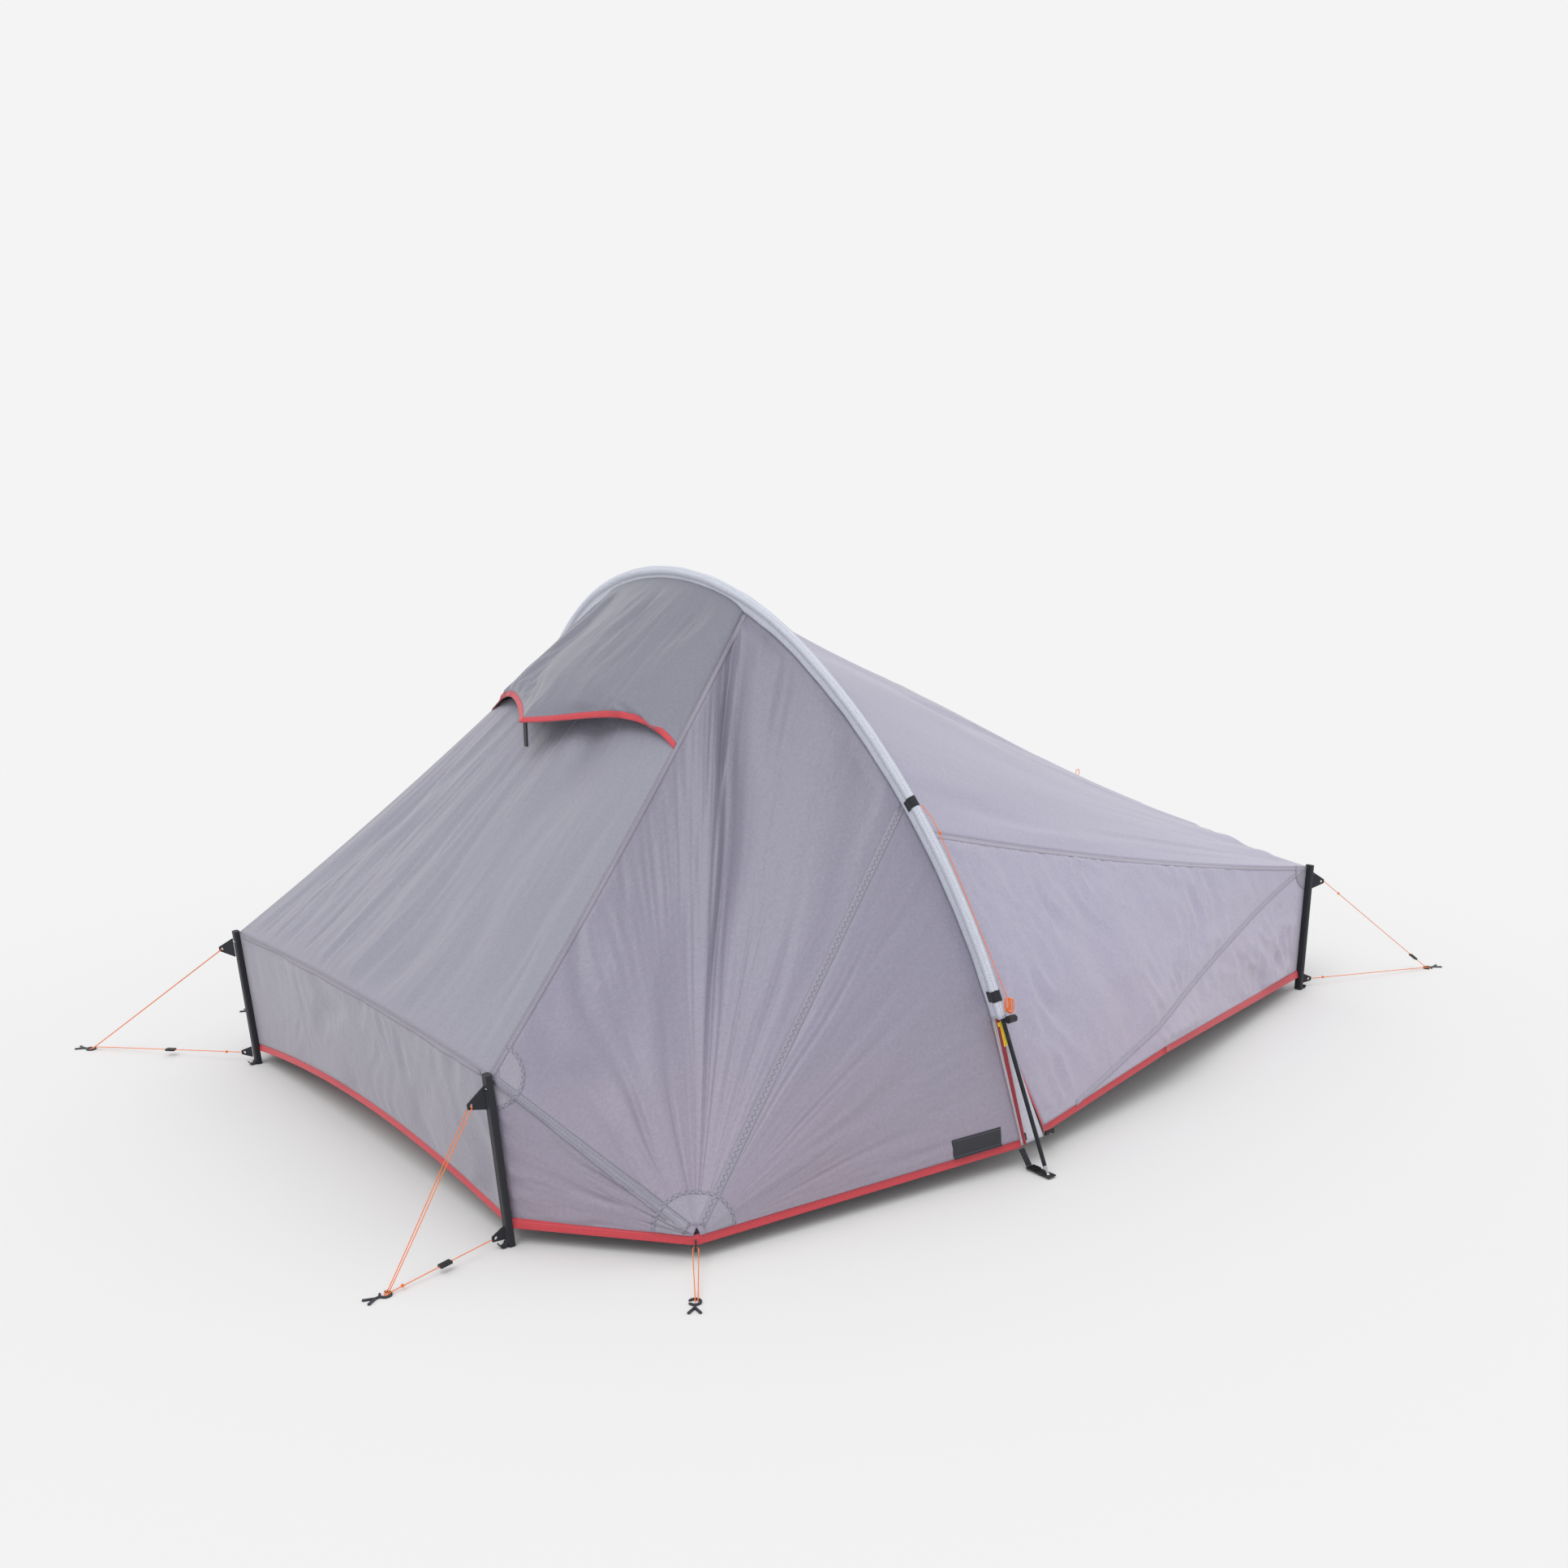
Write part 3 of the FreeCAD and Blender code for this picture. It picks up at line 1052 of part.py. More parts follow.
def run():
    arch_pole()
    pole_sleeve()
    sleeve_bands()
    yellow_straps()
    corner_struts()
    corner_tabs()
    left_tape = end_wall("fly_end_wall_left", "b", "a", LEFT_EAVE_RISE)
    left_roof()
    vent_hood()
    side_walls()
    right_tapes = right_side()
    hems(left_tape, right_tapes)
    zips()
    label()
    pole_feet()
    door_hooks()
    cord_locks()
    save("ground_anchors", corner_guys() + middle_guys())
    arch_guys()
    ridge_loop()
    inner_tent()


run()
os.makedirs("parts", exist_ok=True)
whole = Part.makeCompound(list(NODES.values())).optimalBoundingBox(False, False)
SHIFT = Vector(-(whole.XMin + whole.XMax) / 2, -(whole.YMin + whole.YMax) / 2, -whole.ZMin)
for node, shape in NODES.items():
    shape.translate(SHIFT)
    shape.exportStep("parts/" + node + ".step")
print("moved by", SHIFT, "size", whole.XLength, whole.YLength, whole.ZLength, "nodes", len(NODES))
for joint, (place, axis) in joint_frames().items():
    print("joint", joint, "at", place + SHIFT, "along", axis)
for node, facts in CORD_RADII.items():
    print(node, "length, tightest radius, volume share", facts)
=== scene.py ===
# %% [markdown]
# A trekking tent stands on one long arch pole and four short corner struts.  The metal, webbing and
# plastic pieces come from the CAD frame.  Everything cut from cloth is made again here, because cloth
# that is pulled tight between a few points has sag, folds and puckers that a plain solid doesn't.

# %% Load the frame
import itertools
import math

import bpy
import numpy as np
from mathutils import Matrix, Vector, noise
from mathutils.bvhtree import BVHTree


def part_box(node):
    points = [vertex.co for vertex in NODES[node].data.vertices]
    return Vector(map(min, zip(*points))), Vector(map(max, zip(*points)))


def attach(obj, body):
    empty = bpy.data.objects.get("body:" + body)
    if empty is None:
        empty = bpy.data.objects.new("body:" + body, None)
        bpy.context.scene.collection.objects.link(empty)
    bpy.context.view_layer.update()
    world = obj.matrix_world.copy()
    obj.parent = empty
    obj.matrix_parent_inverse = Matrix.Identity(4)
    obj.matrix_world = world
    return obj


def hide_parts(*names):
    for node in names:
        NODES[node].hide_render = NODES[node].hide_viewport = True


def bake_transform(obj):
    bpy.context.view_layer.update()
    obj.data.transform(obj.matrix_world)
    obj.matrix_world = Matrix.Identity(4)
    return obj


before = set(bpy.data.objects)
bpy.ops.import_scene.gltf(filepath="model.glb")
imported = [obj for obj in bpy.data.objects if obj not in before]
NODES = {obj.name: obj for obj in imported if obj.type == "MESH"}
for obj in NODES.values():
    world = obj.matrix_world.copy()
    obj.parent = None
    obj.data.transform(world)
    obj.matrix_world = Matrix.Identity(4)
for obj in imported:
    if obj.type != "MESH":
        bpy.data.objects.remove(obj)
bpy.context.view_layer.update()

bpy.ops.object.select_all(action="DESELECT")
print("frame of", len(NODES), "nodes")

# %% [markdown]
# The camera stands a little above head height of a person who kneels, to the near left of the tent.

# %% Camera
CAMERA_PLACE = Vector((-2.575, -3.210, 1.375))
CAMERA_HEADING = math.radians(37.37)
CAMERA_DROP = math.radians(10.52)
CAMERA_ROLL = math.radians(-1.05)


def camera_turn():
    """Right, up and backward directions of the camera as a rotation."""
    ahead = Vector((math.sin(CAMERA_HEADING) * math.cos(CAMERA_DROP),
                    math.cos(CAMERA_HEADING) * math.cos(CAMERA_DROP), -math.sin(CAMERA_DROP)))
    level = Vector((math.cos(CAMERA_HEADING), -math.sin(CAMERA_HEADING), 0))
    right = level * math.cos(CAMERA_ROLL) + level.cross(ahead) * math.sin(CAMERA_ROLL)
    return Matrix((right, right.cross(ahead), -ahead)).transposed()


FOCAL_LENGTH, SENSOR_WIDTH = 38.54, 36.0      # millimetres
lens = bpy.data.cameras.new("camera")
lens.lens = FOCAL_LENGTH
lens.sensor_width = SENSOR_WIDTH
camera = bpy.data.objects.new("camera", lens)
camera.matrix_world = Matrix.Translation(CAMERA_PLACE) @ camera_turn().to_4x4()
bpy.context.scene.collection.objects.link(camera)
bpy.context.scene.camera = camera
print("camera at", tuple(round(v, 2) for v in CAMERA_PLACE))

# %% [markdown]
# Every finish is a small tree of nodes.  One function turns the colours that people write, such as a
# shade picked from a swatch, into the linear values that the renderer works in.  One function adds a
# node.

# %% Colour and node helpers
def linear(shade):
    """Linear RGBA from an sRGB hex value."""
    parts = [int(shade[i:i + 2], 16) / 255 for i in (1, 3, 5)]
    return [p / 12.92 if p <= 0.04045 else ((p + 0.055) / 1.055) ** 2.4 for p in parts] + [1.0]


def add_node(tree, kind, values=None, links=None, **settings):
    """A node with its settings, its input values and its input links."""
    made = tree.nodes.new(kind)
    for name, value in settings.items():
        setattr(made, name, value)
    for name, value in (values or {}).items():
        made.inputs[name].default_value = value
    for name, source in (links or {}).items():
        tree.links.new(source, made.inputs[name])
    return made


def new_finish(name, shade, rough, metal=0.0, sheen=0.0, specular=0.5):
    """A material with one shader, and its node tree."""
    finish = bpy.data.materials.new(name)
    finish.use_nodes = True
    shader = finish.node_tree.nodes["Principled BSDF"]
    shader.inputs["Base Color"].default_value = linear(shade)
    shader.inputs["Roughness"].default_value = rough
    shader.inputs["Metallic"].default_value = metal
    shader.inputs["Sheen Weight"].default_value = sheen
    shader.inputs["Specular IOR Level"].default_value = specular
    return finish, finish.node_tree, shader


MM = 0.001
print("mid grey is", round(linear("#808080")[0], 3), "in linear light")

# %% [markdown]
# The cloth is cut round the same arch and struts as the frame.  These few lengths are the tent's own
# plan, in metres, with X measured from the middle between the struts.  The frame says where that middle
# is.

# %% The tent's plan
STRUT_SPACING, HALF_WIDTH, STRUT_LENGTH, STRUT_LEAN = 2.354, 0.629, 0.335, 0.089
ARCH_FOOT_X, ARCH_TILT = -0.212, math.radians(7.9)
LEG_LENGTH, LEG_ANGLE = 0.328, math.radians(14.85)
SHOULDER_RADIUS, SHOULDER_TURN, CROWN_RADIUS = 1.260, math.radians(39.9), 0.815
SHOULDER_ANGLE = LEG_ANGLE + SHOULDER_TURN
SHOULDER_ARC = SHOULDER_RADIUS * SHOULDER_TURN
CROWN_ARC = CROWN_RADIUS * (math.pi / 2 - SHOULDER_ANGLE)
HALF_ARCH = LEG_LENGTH + SHOULDER_ARC + CROWN_ARC
HALF_SPAN = (LEG_LENGTH * math.sin(LEG_ANGLE) + CROWN_RADIUS * math.cos(SHOULDER_ANGLE)
             + SHOULDER_RADIUS * (math.cos(LEG_ANGLE) - math.cos(SHOULDER_ANGLE)))
SLEEVE_START, SIDE_SEAM, EAVE_SEAM, ROOF_SEAM = 0.330, 0.800, 0.735, 1.410
PANEL_EDGE, PANEL_SIDE, DOOR_SIDE = 0.029, 0.004, 0.009
HEM_HEIGHT, BINDING = 0.032, 0.017
SEAM_SAG = 0.020
low_corner, high_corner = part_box("corner_sleeves")
MIDDLE_X = (low_corner[0] + high_corner[0]) / 2
CORNERS = {"a": (-1, 1), "b": (-1, -1), "c": (1, -1), "d": (1, 1)}
ARCH_NORMAL = np.array([math.cos(ARCH_TILT), 0, math.sin(ARCH_TILT)])
print("arch", round(2 * HALF_ARCH, 3), "m round, middle of the plan at", round(MIDDLE_X, 4))

# %% [markdown]
# The arch is a straight leg, a wide bend and a tighter crown, and the same again on the far side, all in
# one plane that leans.  A place near it is a length along it, a distance out from it and one to its side.

# %% Places on the arch and the struts
def point(x, y, z):
    """A place on the tent's plan, as a place in the frame."""
    return np.array([x + MIDDLE_X, y, z])


def arch_station(s):
    """Across, up and leaning angle, at a length s along the arch from its near foot."""
    if s > HALF_ARCH:
        y, h, angle = arch_station(2 * HALF_ARCH - s)
        return -y, h, math.pi - angle
    run = min(s, LEG_LENGTH)
    y, h, angle = -HALF_SPAN + run * math.sin(LEG_ANGLE), run * math.cos(LEG_ANGLE), LEG_ANGLE
    for radius, length, begin in ((SHOULDER_RADIUS, SHOULDER_ARC, LEG_LENGTH),
                                  (CROWN_RADIUS, CROWN_ARC, LEG_LENGTH + SHOULDER_ARC)):
        turned = angle + min(max(s - begin, 0), length) / radius
        y += radius * (math.cos(angle) - math.cos(turned))
        h += radius * (math.sin(turned) - math.sin(angle))
        angle = turned
    return y, h, angle


def arch_point(s, radial=0.0, side=0.0):
    """Beside the arch: radial is outwards in its plane, side is towards +X."""
    y, h, angle = arch_station(s)
    y, h = y - radial * math.cos(angle), h + radial * math.sin(angle)
    return point(ARCH_FOOT_X - h * math.sin(ARCH_TILT), y, h * math.cos(ARCH_TILT)) + ARCH_NORMAL * side


def arch_line(s0, s1, count, radial=0.0, side=0.0):
    return np.array([arch_point(s, radial, side) for s in np.linspace(s0, s1, count)])


def strut_point(corner, height, inset_x=0.0, inset_y=0.0):
    sx, sy = CORNERS[corner]
    reach = STRUT_SPACING / 2 + STRUT_LEAN * height
    return point(sx * (reach - inset_x), sy * (HALF_WIDTH - inset_y), height)


print("top of the arch at", [round(float(v), 3) for v in arch_point(HALF_ARCH)])

# %% [markdown]
# The hem touches the struts, the foot of the arch and one peg on each side.  The door folds on a line from
# the eave to a place on the hem.

# %% Where the cloth is held
ARCH_HEM_Z = 0.042
ARCH_HEM = point(ARCH_FOOT_X - ARCH_HEM_Z * math.tan(ARCH_TILT), -0.978, ARCH_HEM_Z)
MIDDLE_HEM = point(-0.952, -0.899, 0.030)
DOOR_HEM = point(-0.132, -0.956, ARCH_HEM_Z)
FOLD_HEM = point(0.340, -0.880, 0.084)
EAVE_START = arch_point(EAVE_SEAM, -PANEL_EDGE, DOOR_SIDE)
TUCK = 0.006
TOP = {c: strut_point(c, STRUT_LENGTH - 0.005, TUCK, TUCK) for c in CORNERS}
FOOT = {c: strut_point(c, HEM_HEIGHT, TUCK, TUCK) for c in CORNERS}
UP = np.array([0, 0, 1.0])
HEART = point(-0.1, 0, 0.3)     # inside the tent, so cloth faces away from it
print("hem at the arch", [round(float(v), 3) for v in ARCH_HEM])

# %% [markdown]
# A panel of the flysheet is cut flat and pulled tight between a seam on one side and a hem, a peg or a
# seam on the other.  Its grid runs the same way: each thread starts on one edge and ends on the other.

# %% Lines and grids
def straight(a, b, count):
    return np.array([a + (b - a) * t for t in np.linspace(0, 1, count)])


def along(points, count):
    """The same line with its points evenly spaced."""
    points = np.asarray(points)
    steps = np.linalg.norm(np.diff(points, axis=0), axis=1)
    place = np.concatenate([[0], np.cumsum(steps)])
    wanted = np.linspace(0, place[-1], count)
    return np.stack([np.interp(wanted, place, points[:, k]) for k in range(3)], axis=1)


def threads(edge_a, edge_b, count, sag=0.0):
    """Grid from one edge to the other, with the middle of every thread hanging lower by sag."""
    rows = [edge_a + (edge_b - edge_a) * t - UP * (sag * 4 * t * (1 - t)) for t in np.linspace(0, 1, count)]
    return np.array(rows)


def normals_of(rows):
    down, across = np.gradient(rows, axis=0), np.gradient(rows, axis=1)
    normal = np.cross(down, across)
    return normal / np.maximum(np.linalg.norm(normal, axis=2, keepdims=True), 1e-9)


print("hem from the peg to the arch", round(float(np.linalg.norm(ARCH_HEM - MIDDLE_HEM)), 3), "m")

# %% [markdown]
# Loaded cloth folds along the pull, so a fold is narrow across the threads and long along them.  No two
# folds are alike: a slow noise bends them sideways and makes some deep and others shallow.  Where the
# threads run together, at a peg or a corner, the folds get smaller with them.  They fade out at the sewn
# edges, where the seam holds the cloth flat.  A simulation could make such folds, but not in the same
# places each time.

# %% Folds
def folds(rows, layers, edge):
    """Height of the folds over a grid.  A layer is (folds across, folds along, height, crease, seed)."""
    m, n = rows.shape[:2]
    height = np.zeros((m, n))
    for across, lengthwise, size, crease, seed in layers:
        for i in range(m):
            for j in range(n):
                u, t = j / (n - 1), i / (m - 1)
                bend = 0.9 * noise.noise(Vector((u * 3, t * 2.5, seed + 50)))
                strength = min(1.3, max(0.12, 0.5 + 1.5 * noise.noise(Vector((u * 4, t * 2.2, seed + 90)))))
                wave = noise.noise(Vector((u * across + bend, t * lengthwise, seed)))
                height[i, j] += size * strength * ((1 - 2.6 * abs(wave)) * crease + 2 * wave * (1 - crease))
    spacing = np.linalg.norm(np.gradient(rows, axis=1), axis=2)
    close = np.minimum(1, 2.2 * spacing / np.percentile(spacing, 90))
    t, u = np.linspace(0, 1, m)[:, None], np.linspace(0, 1, n)[None, :]
    fade = np.minimum(1, np.minimum(t, 1 - t) / edge) * np.minimum(1, np.minimum(u, 1 - u) / edge)
    return height * close * np.sin(fade * math.pi / 2) ** 2


flat_try = np.stack([np.tile(np.linspace(0, 1, 9), (9, 1)), np.tile(np.linspace(0, 1, 9), (9, 1)).T,
                     np.zeros((9, 9))], axis=2)
print("one layer of 10 mm gives folds up to",
      round(float(np.abs(folds(flat_try, [(6, 2, 10 * MM, 0.5, 1.0)], 0.1)).max()) / MM, 1), "mm")

# %% [markdown]
# A grid turns into a mesh of four-sided faces.  Each point also gets a place on the flat cloth, in
# metres, so a weave or a row of stitches keeps its real size.  Solidify then gives the sheet two sides
# and a rim.

# %% Meshes from grids
CLOTH_THICKNESS = 0.8 * MM


def new_mesh(name, verts, faces, uvs=None):
    """An object from points and faces, with an optional texture place for each point."""
    mesh = bpy.data.meshes.new(name)
    mesh.from_pydata([tuple(v) for v in verts], [], faces)
    if uvs is not None:
        layer = mesh.uv_layers.new(name="lay")
        for loop in mesh.loops:
            layer.data[loop.index].uv = uvs[loop.vertex_index]
    mesh.polygons.foreach_set("use_smooth", [True] * len(mesh.polygons))
    made = bpy.data.objects.new(name, mesh)
    bpy.context.scene.collection.objects.link(made)
    return made


def grid_faces(m, n):
    return [(i * n + j, i * n + j + 1, (i + 1) * n + j + 1, (i + 1) * n + j)
            for i in range(m - 1) for j in range(n - 1)]


def grid_uvs(rows):
    """Texture places in metres: U across the threads, V along them."""
    m, n = rows.shape[:2]
    wide = np.linalg.norm(np.diff(rows, axis=1), axis=2).sum(axis=1).mean()
    tall = np.linalg.norm(np.diff(rows, axis=0), axis=2).sum(axis=0).mean()
    return [(j / (n - 1) * wide, i / (m - 1) * tall) for i in range(m) for j in range(n)]


def thicken(made, thickness):
    """Give a sheet its thickness, applied, half to each side."""
    solid = made.modifiers.new("thickness", "SOLIDIFY")
    solid.thickness = thickness
    solid.offset = 0.0
    bpy.context.view_layer.objects.active = made
    bpy.ops.object.modifier_apply(modifier="thickness")


print("cloth", CLOTH_THICKNESS / MM, "mm thick")

# %% [markdown]
# Where a seam holds the cloth down, a calm grid of 0 to 1 quiets the folds.

# %% Panels of cloth
CLOTH, SHAPED = {}, {}


def flat_area(rows):
    """Area of a grid before it is folded."""
    a, b = rows[1:, :-1] - rows[:-1, :-1], rows[:-1, 1:] - rows[:-1, :-1]
    c, d = rows[:-1, 1:] - rows[1:, 1:], rows[1:, :-1] - rows[1:, 1:]
    halves = np.linalg.norm(np.cross(a, b), axis=2) + np.linalg.norm(np.cross(c, d), axis=2)
    return float(halves.sum() / 2)


def cloth_panel(name, rows, layers, finish, edge, calm=1.0):
    """A panel of cloth over a grid, facing away from the middle of the tent."""
    outside = normals_of(rows)
    if np.sum(outside * (rows - HEART)) < 0:
        rows = rows[:, ::-1]
        calm = np.broadcast_to(calm, rows.shape[:2])[:, ::-1]
        outside = normals_of(rows)
    shaped = rows + outside * (folds(rows, layers, edge) * calm)[:, :, None]
    m, n = rows.shape[:2]
    made = new_mesh(name, shaped.reshape(-1, 3), grid_faces(m, n), grid_uvs(rows))
    thicken(made, CLOTH_THICKNESS)
    made.data.materials.append(finish)
    CLOTH[name] = (flat_area(rows), grid_uvs(rows)[-1])
    SHAPED[name] = shaped
    return made


def mirrored(made, name):
    """The same piece for the far side, turned right side out."""
    other = bpy.data.objects.new(name, made.data.copy())
    other.data.name = name
    bpy.context.scene.collection.objects.link(other)
    other.data.transform(Matrix.Diagonal((1, -1, 1, 1)))
    other.data.flip_normals()
    return other


def declare_sheet(source):
    area, (wide, tall) = CLOTH[source]
    wide, tall = max(wide, 0.05), max(tall, area / max(wide, 0.05) * 1.001)


def on_tent(made, slot, *nodes):
    """A piece that stays with the tent and stands for these nodes; slot is not used."""
    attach(made, "tent")
    for node in nodes:
        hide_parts(node)


print("panels face away from", tuple(round(float(v), 2) for v in HEART))

# %% [markdown]
# The flysheet is ripstop nylon with a silicone coating.  Its yarn is finer than the eye sees from a few
# steps away, so what shows is a soft gloss, a faint grid of thicker yarns every few millimetres and the
# small creases that stay in thin cloth after it has been packed.  Light is painted into its colour too: a
# painted warm tint in patches near the ground for red light bounced from the red floor, and painted shade
# that darkens the cloth towards the top of the arch.

# %% Ripstop cloth
RIPSTOP_GRID = 5 * MM
CREASE_SIZE = 28 * MM


def ripstop_cloth(name, shade, red_bounce, top_light):
    """Thin coated nylon with painted light in its colour: red_bounce is the painted warm tint of red light
    bounced onto the cloth near the ground, and top_light is painted shade, how much light still comes
    through it at the top of the arch, where the cloth lies double against the sleeve."""
    finish, tree, shader = new_finish(name, shade, 0.46, sheen=0.25, specular=0.55)
    place = add_node(tree, "ShaderNodeTexCoord")
    lay = add_node(tree, "ShaderNodeUVMap", uv_map="lay")
    apart = add_node(tree, "ShaderNodeSeparateXYZ", links={"Vector": place.outputs["Object"]})
    cloud = add_node(tree, "ShaderNodeTexNoise", {"Scale": 3.2, "Detail": 3.0, "Roughness": 0.55},
                     {"Vector": place.outputs["Object"]})
    # painted red bounce light: the colour turns warmer towards the ground, in patches
    low = add_node(tree, "ShaderNodeMapRange",
                   {"From Min": 0.42, "From Max": 0.02, "To Min": 0.0, "To Max": 0.85},
                   {"Value": apart.outputs["Z"]}, clamp=True)
    patchy = add_node(tree, "ShaderNodeMath", links={0: low.outputs["Result"], 1: cloud.outputs["Fac"]},
                      operation="MULTIPLY")
    tint = add_node(tree, "ShaderNodeMixRGB", {"Color1": linear(shade), "Color2": linear(red_bounce)},
                    {"Fac": patchy.outputs["Value"]})
    yarn = add_node(tree, "ShaderNodeTexNoise", {"Scale": 1 / (6 * MM), "Detail": 2.0},
                    {"Vector": place.outputs["Object"]})
    grain = add_node(tree, "ShaderNodeMapRange",
                     {"From Min": 0.3, "From Max": 0.7, "To Min": 0.94, "To Max": 1.05},
                     {"Value": yarn.outputs["Fac"]})
    toned = add_node(tree, "ShaderNodeMixRGB", {"Fac": 1.0},
                     {"Color1": tint.outputs["Color"], "Color2": grain.outputs["Result"]},
                     blend_type="MULTIPLY")
    # painted shade: the colour turns darker towards the top of the arch
    lit = add_node(tree, "ShaderNodeMapRange",
                   {"From Min": 0.15, "From Max": 1.15, "To Min": 1.0, "To Max": top_light},
                   {"Value": apart.outputs["Z"]})
    through = add_node(tree, "ShaderNodeMixRGB", {"Fac": 1.0},
                       {"Color1": toned.outputs["Color"], "Color2": lit.outputs["Result"]},
                       blend_type="MULTIPLY")
    tree.links.new(through.outputs["Color"], shader.inputs["Base Color"])
    creases = add_node(tree, "ShaderNodeTexNoise", {"Scale": 1 / CREASE_SIZE, "Detail": 4.0, "Roughness": 0.6,
                                                    "Distortion": 0.6}, {"Vector": place.outputs["Object"]})
    sharp = add_node(tree, "ShaderNodeMath", {1: 0.5}, {0: creases.outputs["Fac"]}, operation="SUBTRACT")
    ridge = add_node(tree, "ShaderNodeMath", links={0: sharp.outputs["Value"]}, operation="ABSOLUTE")
    crinkle = add_node(tree, "ShaderNodeBump", {"Strength": 0.5, "Distance": 5 * MM},
                       {"Height": ridge.outputs["Value"]})
    squares = add_node(tree, "ShaderNodeTexBrick",
                       {"Scale": 1 / RIPSTOP_GRID, "Mortar Size": 0.06, "Mortar Smooth": 0.6,
                        "Brick Width": 1.0, "Row Height": 1.0},
                       {"Vector": lay.outputs["UV"]}, offset=0.0)
    weave = add_node(tree, "ShaderNodeBump", {"Strength": 0.10, "Distance": 0.2 * MM},
                     {"Height": squares.outputs["Fac"], "Normal": crinkle.outputs["Normal"]})
    tree.links.new(weave.outputs["Normal"], shader.inputs["Normal"])
    return finish


# One cloth in four copies whose shades differ only for the light on each panel: painted light on the pale
# right side, painted shade on the darker side wall and hood, whose double layer lets less light through.
fly_left = ripstop_cloth("ripstop_nylon_left_painted_light", "#8b8a99", "#8f858f", 0.92)
fly_hood = ripstop_cloth("ripstop_nylon_hood_painted_shade", "#7d7d8c", "#7d7d8c", 0.85)
fly_side = ripstop_cloth("ripstop_nylon_side_painted_shade", "#918da0", "#95838f", 0.70)
fly_right = ripstop_cloth("ripstop_nylon_right_painted_light", "#aba7bd", "#a898a8", 0.80)
print("ripstop squares of", RIPSTOP_GRID / MM, "mm, four shades")

# %% [markdown]
# The left roof runs from the end wall's eave up to the arch.  Its upper third is netting, so that damp
# air gets out under the hood.

# %% Roof on the left
FINE = 150
eave_left = straight(TOP["b"], TOP["a"], FINE)
eave_left = eave_left + np.array([UP * 0.015 * 4 * t * (1 - t) for t in np.linspace(0, 1, FINE)])
crest_left = arch_line(ROOF_SEAM, 2 * HALF_ARCH - ROOF_SEAM, FINE, -PANEL_EDGE, -PANEL_SIDE)
roof_rows = threads(eave_left, crest_left, 121, SEAM_SAG)
NET_ROW = 86
ROOF_LAYERS = [(11, 1.1, 13.0 * MM, 0.2, 3.1), (26, 1.8, 7.0 * MM, 0.6, 6.2), (60, 3.5, 2.4 * MM, 0.7, 8.7)]
roof_left = cloth_panel("roof_left", roof_rows[:NET_ROW + 1], ROOF_LAYERS, fly_left, 0.06)
on_tent(roof_left, "fly_fabric", "fly_roof_left")
declare_sheet("roof_left")
print("left roof", round(CLOTH["roof_left"][0], 2), "square metres")

# %% [markdown]
# Mosquito netting is knitted polyester.  Its holes are smaller than a millimetre, and under the hood it
# only shows as a dark matt sheet, so a bump of small cells stands for the knit.

# %% Netting
def knitted_net():
    """Fine polyester mesh: dark, with holes too small to count from outside."""
    finish, tree, shader = new_finish("polyester_netting", "#3c3c42", 0.8, sheen=0.3)
    lay = add_node(tree, "ShaderNodeUVMap", uv_map="lay")
    holes = add_node(tree, "ShaderNodeTexVoronoi", {"Scale": 1 / (3 * MM)}, {"Vector": lay.outputs["UV"]})
    knit = add_node(tree, "ShaderNodeBump", {"Strength": 0.5, "Distance": 0.4 * MM},
                    {"Height": holes.outputs["Distance"]})
    tree.links.new(knit.outputs["Normal"], shader.inputs["Normal"])
    return finish


net_finish = knitted_net()
net = cloth_panel("vent_net", roof_rows[NET_ROW:], [(14, 2, 2.0 * MM, 0.3, 5.5)], net_finish, 0.04)
on_tent(net, "netting", "vent_netting")
declare_sheet("vent_net")
print("netting", round(CLOTH["vent_net"][0], 2), "square metres")

# %% [markdown]
# The hood is a second skin over the netting.  A stiff tape in its lip lets it reach forward, and its
# front turns down to close the vent, so the cloth bends where the frame has its hinge.

# %% Vent hood
HOOD_SHARE = 0.68
HOOD_END = roof_rows[round(HOOD_SHARE * (len(roof_rows) - 1)), 0] + UP * 0.006
HOOD_REACH, HOOD_BULGE = 0.140, 0.104


def hood_edge(reach, rise, beak, lift):
    """A line across the hood: reach is how far its middle stands forward and beak how sharply it comes to a
    point, rise is the height of the middle and lift that of the shoulders."""
    edge = []
    for share in np.linspace(-1, 1, FINE):
        side = abs(share)
        edge.append(HOOD_END * np.array([1, 0, 1]) + np.array([
            -reach * (1 - side) ** beak, -share * HOOD_END[1],
            rise * (1 - side ** 2) + lift * math.sin(math.pi * side ** 1.6)]))
    return np.array(edge)


hood_crest = arch_line(ROOF_SEAM + 0.002, 2 * HALF_ARCH - ROOF_SEAM - 0.002, FINE, -PANEL_EDGE + 0.012,
                       -PANEL_SIDE - 0.003)
hood_ridge = hood_edge(0.030, HOOD_BULGE + 0.010, 1.0, 0.0)
hood_lip = hood_edge(HOOD_REACH, 0.021, 1.7, 0.030)
back_rows = threads(hood_crest, hood_ridge, 61)
front_rows = threads(hood_ridge, hood_lip, 31)
hood_rows = np.concatenate([back_rows, front_rows[1:]])
SMOOTHINGS = 10
for _ in range(SMOOTHINGS):
    hood_rows[1:-1] = (hood_rows[:-2] + 2 * hood_rows[1:-1] + hood_rows[2:]) / 4
seam_above = roof_rows[round(HOOD_SHARE * (len(roof_rows) - 1)):, 0][::-1]
hood_seam = along(seam_above, len(hood_rows)) + UP * 0.0012
hood_seam = hood_seam + (MIDDLE_HEM - hood_seam) * 0.003
FAR_SEAM = np.array([1, -1, 1])
HELD_COLUMNS = 14
